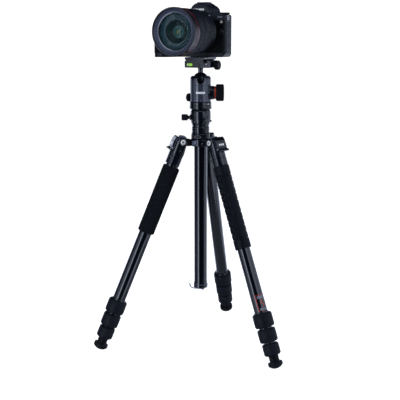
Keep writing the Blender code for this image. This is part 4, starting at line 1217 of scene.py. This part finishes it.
def back_cover():
    outline = fillet([(LEFT_END, SPLIT_Y + 0.25), (RIGHT_END, SPLIT_Y + 0.25), *BACK_CORNERS], True, 6)
    cover = plate(outline, 0, SPLIT_Z)
    chamber = slab((-25, 0, LENS_Z - 20), (25, 26, LENS_Z + 20))
    recess = slab((-39, 31.2, 6.4), (42.4, 40, 60.6))
    cover = combined(cover, "DIFFERENCE", chamber, recess, lower_corner())
    camera_piece("back_shell", cover, "shell", ["camera_back_cover"], bevel=0.7, sharp=38)
    rest = [(-76.4, 26.5), (-74, 29.8), (-66.5, 32.2), (-58, 32.3), (-50, 32.2)]
    thumb = [Vector((p.x, p.y)) for p in smooth_path([(x, y, 0) for x, y in rest], 24)]
    camera_piece("thumb_rest", skirt(thumb, 0.9, 40, SPLIT_Z - 1.5), "skin", bevel=0.4)
    buttons = []
    spots = ((-44, 50, 2.6), (-51, 57, 2.2), (-59, 57, 2.2), (-43.5, 40, 2.2), (-43.5, 12, 2.4),
             (-57, 11, 2.4))
    for x, z, radius in spots:
        button = spun([(0, -33), (radius, -33, 0.5), (radius, -31, 0.2), (0, -31)], 40)
        buttons.append(moved(button, shift(x, 0, z) @ turn(90, "X")))
    camera_piece("back_buttons", merged(*buttons), "gloss", slot="camera_controls")
    dial = [(0, -34.4), (3.4, -34.4), (3.8, -34, 0.3), (3.8, -33.4), (6.6, -33.4, 0.4), (9.6, -34, 0.6),
            (10.6, -33.2, 0.5), (10.6, -31), (0, -31)]
    wheel = spun(dial, 240, step=0.8, relief=ripple(0.25, 48, 10.2))
    camera_piece("back_wheel", moved(wheel, shift(-54, 0, 27) @ turn(90, "X")), "gloss",
                 slot="camera_controls")
    stick = moved(spun([(0, -35.2), (2, -35.2, 0.5), (2.8, -34.6, 0.4), (2.8, -34, 0.3), (1.4, -33.6),
                        (1.4, -31), (0, -31)], 40), shift(-52, 0, 47) @ turn(90, "X"))
    camera_piece("back_joystick", stick, "grip", slot="camera_controls")


def screen():
    low, high = levels("camera_screen", CAMERA)
    panel = plate(rect(*low.xz, *high.xz, 1.6), low.y, high.y, "XZ")
    window = slab((low.x + 3.2, high.y - 0.5, low.z + 3), (high.x - 6, high.y + 2, high.z - 3))
    panel = combined(panel, "DIFFERENCE", window)
    make("screen_frame", panel, CAMERA, "shell", "camera_screen", ["camera_screen"], slot="screen_glass",
         bevel=0.45, sharp=38)
    face = plate(rect(low.x + 3.4, low.z + 3.2, high.x - 6.2, high.z - 3.2, 0.5), high.y - 1, high.y - 0.2,
                 "XZ")
    make("screen_glass", face, CAMERA, "screen", "camera_screen", slot="screen_glass", bevel=0.1)
    hinge = [(0, low.z + 8), (2.2, low.z + 8, 0.5), (2.2, high.z - 8, 0.5), (0, high.z - 8)]
    make("screen_hinge", moved(spun(hinge, 48), shift(high.x - 2.4, low.y + 2.2, 0)), CAMERA, "gloss",
         "camera_screen", slot="screen_glass")


def battery_parts():
    low, high = levels("battery_door", CAMERA)
    door = plate(rect(*low.xy, *high.xy, 1.4, 1), low.z, high.z)
    grooves = [slab((low.x - 1, low.y + 4.6, low.z - 1), (high.x + 1, low.y + 5, low.z + 0.3)),
               slab((low.x + 5, low.y + 6.5, low.z - 1), (high.x - 5, low.y + 10.5, low.z + 0.6))]
    door = combined(door, "DIFFERENCE", *grooves)
    make("battery_hatch", door, CAMERA, "shell", "battery_door", ["battery_door"], slot="camera_shell",
         bevel=0.3, sharp=38)
    latch = slab((low.x + 6.5, low.y + 7.2, low.z + 0.1), (high.x - 6.5, low.y + 9.8, low.z + 0.9))
    make("battery_latch", latch, CAMERA, "grey", "battery_door", slot="camera_controls", bevel=0.2)
    low, high = levels("battery", CAMERA)
    pack = plate(rect(*low.xy, *high.xy, 2), low.z, high.z)
    seam = slab((low.x - 1, low.y - 1, low.z + 6), (high.x + 1, high.y + 1, low.z + 6.3))
    inner = slab((low.x + 0.25, low.y + 0.25, low.z + 5.5), (high.x - 0.25, high.y - 0.25, low.z + 7))
    contacts = [slab((low.x + 5 + 3 * k, low.y + 3, low.z - 1),
                     (low.x + 6.6 + 3 * k, low.y + 8, low.z + 0.6)) for k in range(4)]
    pack = combined(pack, "DIFFERENCE", combined(seam, "DIFFERENCE", inner), *contacts)
    camera_piece("battery_pack", pack, "lock", ["battery"], slot="battery_case", bevel=0.5, sharp=38)


def sensor_parts():
    low, high = levels("image_sensor", CAMERA)
    face = plate(rect(*low.xz, *high.xz, 1), low.y, high.y, "XZ")
    pocket = slab((-18, low.y - 2, LENS_Z - 12), (18, low.y + 0.8, LENS_Z + 12))
    camera_piece("sensor_carrier", combined(face, "DIFFERENCE", pocket), "cavity", ["image_sensor"],
                 slot="sensor_glass", bevel=0.2)
    glass = slab((-17.9, low.y + 0.5, LENS_Z - 11.9), (17.9, low.y + 1, LENS_Z + 11.9))
    camera_piece("sensor_cover_glass", glass, "sensor", slot="sensor_glass", bevel=0.1)


def hump_section(z, front, front_y, chamfer, back, back_y, sink):
    """A section of the finder hump: a narrow front, a chamfer, a wide shoulder and a narrower back."""
    half = [(front, front_y), (front + chamfer * 0.55, front_y + chamfer),
            (back, (front_y + back_y) / 2 + 8), (back - 0.5, back_y - sink), (back - sink, back_y)]
    return [(x, y, z) for x, y in half] + [(-x, y, z) for x, y in reversed(half)]


def top_cover():
    around = fillet([*FRONT_OUTLINE, *reversed(BACK_CORNERS)], True, 6)
    low = SPLIT_Z + 0.25
    cover = plate(around, low, SHOULDER + 3.6)
    deck = [(-90, low - 2), (60, low - 2), *at(SHOULDER, (60, -6.5), (50.5, -3.4, 2), (44, -1, 4),
                                               (36, 0.8, 5), (26, 3.2, 6), (-26, 3.2, 5), (-34, 0, 5),
                                               (-66, 0, 4), (-77.3, -5.5, 3), (-90, -12))]
    cover = combined(cover, "INTERSECT", plate(fillet(deck, True, 8), -60, 60, "XZ"))
    hump = lofted([hump_section(SHOULDER - 3, 19.4, -8.5, 5, 27, 35, 3),
                   hump_section(SHOULDER + 2, 18.4, -8.5, 5, 26, 36, 3),
                   hump_section(86.5, 15.4, -8.2, 4.6, 23.6, 36, 3),
                   hump_section(90.2, 14, -7.2, 4, 20.4, 35.4, 2.5),
                   hump_section(93.2, 12.4, -4.6, 3, 15.6, 33.4, 2),
                   hump_section(96.4, 11, 1.6, 2, 12, 30.8, 1.5)])
    throat = moved(turned([(0, -12), (27.2, -12), (27.2, 3), (38.2, 3), (38.2, 60), (0, 60)], 160),
                   LENS_AXIS)
    well = moved(turned([(0, -1.6), (5.9, -1.6), (5.9, 6), (0, 6)], 64), shift(-62.4, -31, SHOULDER))
    cover = combined(cover, "UNION", hump)
    cover = slope_grip(combined(cover, "DIFFERENCE", throat, well))
    camera_piece("top_shell", cover, "shell", ["camera_top_cover"], bevel=0.7, sharp=30)

    shoe_top = 98.6
    rails = []
    for side in (-1, 1):
        rail = at(shoe_top, (side * 10.2, -2.6), (side * 10.2, 0, 0.4), (side * 6.4, 0, 0.4),
                  (side * 6.4, -0.9), (side * 8.8, -0.9), (side * 8.8, -2.6))
        rails.append(plate(fillet(rail, True), 6.5, 26, "XZ"))
    base = plate(rect(-10.2, 5.4, 10.2, 27, 2), shoe_top - 3.4, shoe_top - 2.3)
    camera_piece("accessory_shoe", merged(*rails, base), "gloss", bevel=0.2)
    cover_plate = plate(fillet([(-9.6, 4.4, 2.4), (9.6, 4.4, 2.4), (9, 6.4, 1), (-9, 6.4, 1)], True),
                        shoe_top - 3.2, shoe_top - 0.2)
    camera_piece("shoe_stop", cover_plate, "shell", bevel=0.3)

    spans = ((-11.4, 3.8), (-6.8, 2.8), (-3.3, 2.8), (0.2, 2.8), (3.7, 2.8), (7.2, 3.4))
    name_bars = [slab((x, -9.1, 83), (x + wide, -8.1, 86.6)) for x, wide in spans]
    camera_piece("hump_mark", merged(*name_bars), "paint", bevel=0.25)
    marks = [slab((35.4 + 3.4 * k, -3.35, 70.4), (37.8 + 3.4 * k, -2.8, 72.4)) for k in range(3)]
    camera_piece("shoulder_mark", merged(*marks), "grey", bevel=0.15)
    badge = [slab((40.6, -3.95, 61), (44.8, -3.2, 62.2)), slab((40.6, -3.95, 63.4), (44.8, -3.2, 64.6))]
    camera_piece("front_badge", merged(*badge), "paint", bevel=0.1)

    eye = plate(rect(-17, 76.5, 17, 92, 5), 30, 37.6, "XZ")
    hole = plate(rect(-10, 79.5, 10, 89, 2.5), 34, 45, "XZ")
    camera_piece("finder_eyecup", combined(eye, "DIFFERENCE", hole), "grip", slot="camera_controls",
                 bevel=0.9)
    lens = plate(rect(-9.6, 79.9, 9.6, 88.6, 2), 33.8, 34.6, "XZ")
    camera_piece("finder_window", lens, "screen", slot="screen_glass", bevel=0.2)


def top_controls():
    low, high = levels("shutter_button", CAMERA)
    x, y = (low.x + high.x) / 2, (low.y + high.y) / 2
    button = spun([(0, low.z), (5.2, low.z, 0.2), *at(high.z, (5.2, -0.7, 0.6), (3.6, 0, 1.5), (0, -0.35))],
                  96)
    make("release_button", button, CAMERA @ shift(x, y, 0), "gloss", "shutter_button", ["shutter_button"],
         slot="camera_controls")
    bezel = spun(at(SHOULDER, (5.5, -0.4), (7.6, -0.4), (7, 1, 0.5), (5.5, 0.9, 0.3)), 96, closed=True)
    camera_piece("release_bezel", moved(bezel, shift(x, y, 0)), "shell", slot="camera_controls")

    low, high = levels("mode_dial", CAMERA)
    x, y = (low.x + high.x) / 2, (low.y + high.y) / 2
    outline = [*at(low.z, (0, 0), (10.4, 0, 0.3), (11, 0.8, 0.4)),
               *at(high.z, (11, -1.2, 0.4), (10.2, 0, 0.4), (4.2, 0, 0.2), (3.9, -0.5), (0, -0.5))]
    dial = spun(outline, 300, step=1, relief=ribs(50, 0.45, low.z + 0.8, high.z - 0.9, 0.5, 0.6, beyond=10))
    make("control_dial", dial, CAMERA @ shift(x, y, 0), "gloss", "mode_dial", ["mode_dial"],
         slot="camera_controls")
    front_dial = moved(spun([(0, -5), (6.6, -5, 0.4), (7.2, -4.2, 0.4), (7.2, 4.2, 0.4), (6.6, 5, 0.4),
                             (0, 5)], 200, step=1, relief=ripple(0.35, 36, 6.9)),
                       shift(-58, -14, SHOULDER - 4.4) @ ALONG_X)
    camera_piece("front_dial", front_dial, "gloss", slot="camera_controls")
    knob = [(0, -0.5), (2, -0.5), (2, 0.9, 0.4), (0, 1)]
    knobs = [moved(spun(knob, 40), shift(x, y, SHOULDER)) for x, y in ((-67, -16), (-60, -13))]
    camera_piece("top_buttons", merged(*knobs), "gloss", slot="camera_controls")
    power = at(SHOULDER, (0, -0.2), (8.4, -0.2, 0.3), (8.4, 2.6, 0.5), (7.6, 3.2, 0.3), (0, 3.2))
    ring = spun(power, 200, step=1, relief=ripple(0.2, 40, 8))
    camera_piece("power_ring", moved(ring, shift(41.5, 16, -0.6)), "shell", slot="camera_controls")


def mount_parts():
    ring = [(27.2, 3.1), (32.6, 3.1), (32.6, 5.2, 0.4), (31.8, 6, 0.4), (27.2, 6, 0.2)]
    make("mount_ring", spun(ring, 160, closed=True), LENS, "chrome", "camera", ["lens_mount_ring"],
         slot="mount_steel")
    button = spun([(0, 2.9), (3.8, 2.9), (3.8, 4.6, 0.5), (3, 5.2, 0.4), (0, 5)], 64)
    make("release_catch", button, LENS @ shift(42, 0, 0), "gloss", "lens_release_button",
         ["lens_release_button"], slot="camera_controls")
    bezel = spun([(4.1, 2.6), (5.6, 2.6), (5.3, 4.2, 0.5), (4.1, 4.2, 0.3)], 64, closed=True)
    make("release_catch_bezel", bezel, LENS @ shift(42, 0, 0), "shell", "camera", slot="camera_controls")


# ---------------------------------------------------------------- lens
LENS_LENGTH = 112
FRONT = LENS @ shift(0, 0, LENS_LENGTH)


def barrel_piece(name, bm, look, replaces=(), **edges):
    return make(name, bm, LENS, look, "camera", replaces, "lens_barrel", **edges)


def front_piece(name, bm, look, replaces=(), slot="lens_barrel", **settings):
    return make(name, bm, FRONT, look, "lens_front", replaces, slot, **settings)


def lens_barrel():
    back, front = 6.3, LENS_LENGTH
    outer = [*at(back, (30, 0), (32.4, 0, 0.4), (33.2, 1, 0.4), (34.4, 2.2, 0.3), (35.6, 2.6, 0.4),
                 (36.4, 3.8, 0.5), (36.4, 6), (36, 6.4), (36, 7), (36.9, 7.6, 0.4), (37.6, 9.5, 1),
                 (38.3, 17, 3), (38.9, 25.2, 0.6), (38.6, 26.4, 0.3), (36, 27)),
             *at(front, (36, -24), (40, -24, 0.3), (40.5, -23.4, 0.3), (40.75, -15, 0.4), (40.5, -14.2, 0.3),
                 (40.5, -13.2), (34.5, -13.2)), (34.5, back + 10), (30, back + 10)]
    barrel_piece("barrel_body", spun(outer, 192, closed=True), "barrel", ["lens_fixed_barrel"])
    red = fillet(at(front, (40.3, -17), (41, -17, 0.2), (41.05, -16.1, 0.2), (40.3, -16.1)), True)
    barrel_piece("barrel_red_line", turned(red, 192), "red")
    index = moved(spun([(0, 0), (1.5, 0), (1.5, 0.7, 0.3), (0, 0.9)], 32),
                  turn(52, "Z") @ shift(36.1, 0, back + 4.9) @ ALONG_X)
    barrel_piece("mount_index", index, "paint")
    ticks = []
    spots = ((-16, 1, 19.5, 3.6), (-10, 1, 19.5, 3.6), (-3, 3.4, 19.8, 1.2), (3, 3.4, 19.8, 1.2),
             (11, 1, 19.5, 3.6), (-17, 1.2, 26, 1.6), (11, 1.2, 26, 1.6))
    for start, wide, low, long in spots:
        ticks.append(curved_patch(38.72, 0.12, start, start + wide, low, low + long, 6))
    barrel_piece("barrel_marks", merged(*ticks), "grey")
    switches = []
    for middle in (152, 172):
        switches.append(curved_patch(37.8, 1.4, middle - 6.4, middle + 6.4, back + 10.5, back + 19, 12))
        switches.append(curved_patch(38.8, 1.6, middle - 3, middle + 0.4, back + 12, back + 17.5, 6))
    barrel_piece("barrel_switches", merged(*switches), "shell", bevel=0.35)


def grip_ring(name, node, body, low, high, radius, count, bands):
    """A ribbed rubber ring between smooth edges. bands are the heights where plain grooves run round."""
    profile = at(low, (36.6, 0), (radius - 0.9, 0, 0.3), (radius - 0.1, 0.8, 0.3), (radius - 0.1, 2.2),
                 (radius - 0.6, 2.5), (radius, 2.9))
    for band in bands:
        profile += [(radius, low + band - 0.5), (radius - 0.55, low + band - 0.35),
                    (radius - 0.55, low + band + 0.35), (radius, low + band + 0.5)]
    profile += at(high, (radius, -2.9), (radius - 0.6, -2.5), (radius - 0.1, -2.2),
                  (radius - 0.1, -0.8, 0.3), (radius - 0.9, 0, 0.3), (36.6, 0))
    relief = ribs(count, 0.5, low + 2.6, high - 2.6, 0.4, 0.7, beyond=radius - 0.2)
    ring = spun(profile, count * 6, closed=True, relief=relief)
    make(name, ring, LENS, "ribs", body, [node], slot="lens_rubber")


def lens_front():
    """The extending barrel's rim, a ridged bevel, and the glass in it: three nested elements."""
    barrel = [(32.2, -60), (34, -60, 0.3), (34, -12.6), (40.6, -12.6, 0.3), (41.4, -11.8, 0.4), (41.5, -8.4),
              (41.2, -8), (41.2, -7.4), (41.5, -7), (41.5, -1.1, 0.8), (40.6, 0, 0.6), (39.3, 0, 0.3)]
    for k in range(4):
        level = -0.9 - 0.75 * k
        barrel += [(39, level), (38.75, level - 0.35)]
    barrel += [(38.9, -4.4), (34.4, -8.4), (34.4, -12), (32.2, -12)]
    front_piece("front_barrel", spun(barrel, 192, closed=True), "barrel", ["lens_extension_barrel"])

    cone = [(38.8, -3.4), (38.8, -4.8), (33.7, -8.2), (32.7, -8.2), (32.7, -6.8), (33.9, -6.6, 0.3)]
    for radius, level in ((35.2, -5.8), (36.6, -5)):
        cone += at(level, (radius - 0.25, -0.1), (radius, -0.35), (radius + 0.25, 0))
    front_piece("front_bevel", spun(cone, 192, closed=True), "bevel")
    dot = [(0, 0), (0.5, 0), (0.5, 0.22), (0, 0.25)]
    dots = [moved(turned(dot, 12), turn(48 - 5 * k, "Z") @ shift(35.9, 0, -5.35) @ turn(30, "Y"))
            for k in range(7)]
    front_piece("front_bevel_dots", merged(*dots), "grey")
    retainer = [(32.8, -6.9), (32.8, -10.6), (30.6, -10.6), (30.6, -8.2, 0.3), (31.2, -7.2, 0.3)]
    front_piece("front_retainer", spun(retainer, 192, closed=True), "gloss")

    radii = (4, 8, 12, 16, 20, 24, 27, 30.5)
    outer = [(0, -5.6)] + [(r, -5.6 - r * r / 330) for r in radii]
    outer += [(r, -6.8 - r * r / 330) for r in reversed(radii)] + [(0, -6.8)]
    front_piece("front_glass", turned(outer, 160), "front_glass", ["lens_front_element"], slot="lens_glass")

    well = [(30.4, -10.8), (30.4, -18), (20.4, -18), (20.4, -14.2)]
    well += [(r, -14.2 + 3.4 * ((r - 20.4) / 10) ** 1.6) for r in (21.5, 23, 25, 27, 29)]
    front_piece("front_well", turned(well, 160), "well", slot="lens_glass")
    rim = fillet([(21.6, -15), (21.6, -13.5, 0.3), (20, -13.2, 0.4), (19.2, -14.6), (19.2, -17),
                  (21.6, -17)], True)
    front_piece("second_ring", turned(rim, 160), "rim")
    cone = [(19.4, -15.2), (19.4, -27), (10.4, -27), (10.4, -22.4), (12.5, -20.6), (16, -17.8)]
    front_piece("second_well", turned(cone, 160), "deep", slot="lens_glass")
    rim = fillet([(11.6, -22.4), (11.6, -21, 0.3), (10.4, -21.2, 0.3), (9.9, -24), (11.6, -24)], True)
    front_piece("third_ring", turned(rim, 96), "rim")
    third = [(0, -20.4)] + [(r, -20.4 - r * r / 46) for r in (2, 4, 6, 8, 10.2)] + [(10.2, -26), (0, -26)]
    front_piece("third_glass", turned(third, 96), "inner_glass", slot="lens_glass", own_frame=True)


# ---------------------------------------------------------------- stage
CAMERA_BEARING = 25
CAMERA_REACH = 1.582
CAMERA_HEIGHT = 0.586
CAMERA_PITCH = 10.94
AXIS = Vector(JOINTS["ball_spin"]["pos_m"])


def make_camera_view():
    view = bpy.data.cameras.new("view")
    view.lens = 76.5
    view.sensor_width = 36
    view.shift_x = -0.0015
    view.clip_start = 0.05
    view.clip_end = 50
    holder = bpy.data.objects.new("view", view)
    bpy.context.scene.collection.objects.link(holder)
    bearing = math.radians(CAMERA_BEARING)
    holder.location = (AXIS.x + CAMERA_REACH * math.sin(bearing), AXIS.y - CAMERA_REACH * math.cos(bearing),
                       CAMERA_HEIGHT)
    holder.rotation_euler = (math.radians(90 - CAMERA_PITCH), 0, bearing)
    bpy.context.scene.camera = holder


def area_light(name, bearing, reach, height, size, power, target=(0, 0, 0.35)):
    """A soft rectangular light at a bearing from -Y towards +X, aimed at a point."""
    light = bpy.data.lights.new(name, "AREA")
    light.shape = "RECTANGLE"
    light.size, light.size_y = size
    light.energy = power
    light.color = (0.72, 0.8, 1)
    holder = bpy.data.objects.new(name, light)
    bpy.context.scene.collection.objects.link(holder)
    angle = math.radians(bearing)
    holder.location = (reach * math.sin(angle), -reach * math.cos(angle), height)
    aim = Vector(target) - holder.location
    holder.rotation_euler = aim.to_track_quat("-Z", "Y").to_euler()
    holder.visible_camera = False


def make_stage():
    """A white floor that reaches past the view. Only the camera sees it: it casts no shadow and lights
    nothing, so that the black finishes stay black. The light floor_bounce stands for what it gives."""
    floor = bmesh.new()
    bmesh.ops.create_circle(floor, cap_ends=True, segments=128, radius=12)
    mesh = bpy.data.meshes.new("pale_floor")
    floor.to_mesh(mesh)
    floor.free()
    paper = surface("pale_paper", (0.9, 0.9, 0.905), 0.9, (2, 0.01), specular=0)
    glow(paper, (1, 1, 1), 1.02)
    mesh.materials.append(paper)
    made = bpy.data.objects.new("pale_floor", mesh)
    bpy.context.scene.collection.objects.link(made)
    made.location = (0, 0, -0.0002)
    made.visible_diffuse = False
    made.visible_glossy = False
    made.visible_shadow = False


def make_world():
    """White where the camera sees past the floor, and nearly dark where it lights the object."""
    world = bpy.data.worlds.new("studio")
    world.use_nodes = True
    bpy.context.scene.world = world
    tree = world.node_tree
    lit = tree.nodes["Background"]
    lit.inputs["Color"].default_value = (0.6, 0.72, 1, 1)
    lit.inputs["Strength"].default_value = 0.015
    seen = tree.nodes.new("ShaderNodeBackground")
    seen.inputs["Color"].default_value = (1, 1, 1, 1)
    seen.inputs["Strength"].default_value = 1.2
    path = tree.nodes.new("ShaderNodeLightPath")
    mix = tree.nodes.new("ShaderNodeMixShader")
    tree.links.new(path.outputs["Is Camera Ray"], mix.inputs["Fac"])
    tree.links.new(lit.outputs["Background"], mix.inputs[1])
    tree.links.new(seen.outputs["Background"], mix.inputs[2])
    tree.links.new(mix.outputs["Shader"], tree.nodes["World Output"].inputs["Surface"])


def make_lights():
    area_light("left_strip", -14, 1.5, 0.35, (0.46, 2.3), 14)
    area_light("left_wing", -41, 1.5, 0.35, (0.8, 2.3), 5)
    area_light("right_high", 66, 1.5, 0.82, (1, 1.1), 6)
    area_light("right_panel", 112, 1.5, 0.35, (1.6, 2.3), 12)
    area_light("top_softbox", 35, 0.7, 2.2, (2.2, 2.2), 10, (0, 0, 0))
    area_light("right_low", 70, 1.5, -0.72, (0.9, 0.6), 3)
    area_light("floor_bounce", 0, 0, 0.001, (0.55, 0.55), 0.3, (0, 0, 1))
    area_light("back_right", 172, 1.5, 0.1, (1.3, 1.3), 8)
    area_light("back_left", 238, 1.5, 0.1, (1.3, 1.3), 8)


LOOKS = make_materials()
make_legs()
for build in (spider, twist_collar, column_tube, ballast_hook, column_block, pan_base, head_housing,
              head_knobs, ball_and_stem, clamp, dovetail_plate, front_body, port_doors, strap_lugs,
              back_cover, screen, battery_parts, sensor_parts, top_cover, top_controls, mount_parts,
              lens_barrel):
    build()
grip_ring("zoom_grip", "lens_zoom_ring", "zoom_ring", 33.7, 63.7, 40.4, 110, (8.5, 21.5))
grip_ring("focus_grip", "lens_focus_ring", "focus_ring", 64.1, 87.6, 40.7, 120, (6, 17.5))
lens_front()
make_world()
make_stage()
make_lights()
make_camera_view()
bpy.context.scene.view_settings.view_transform = "Standard"
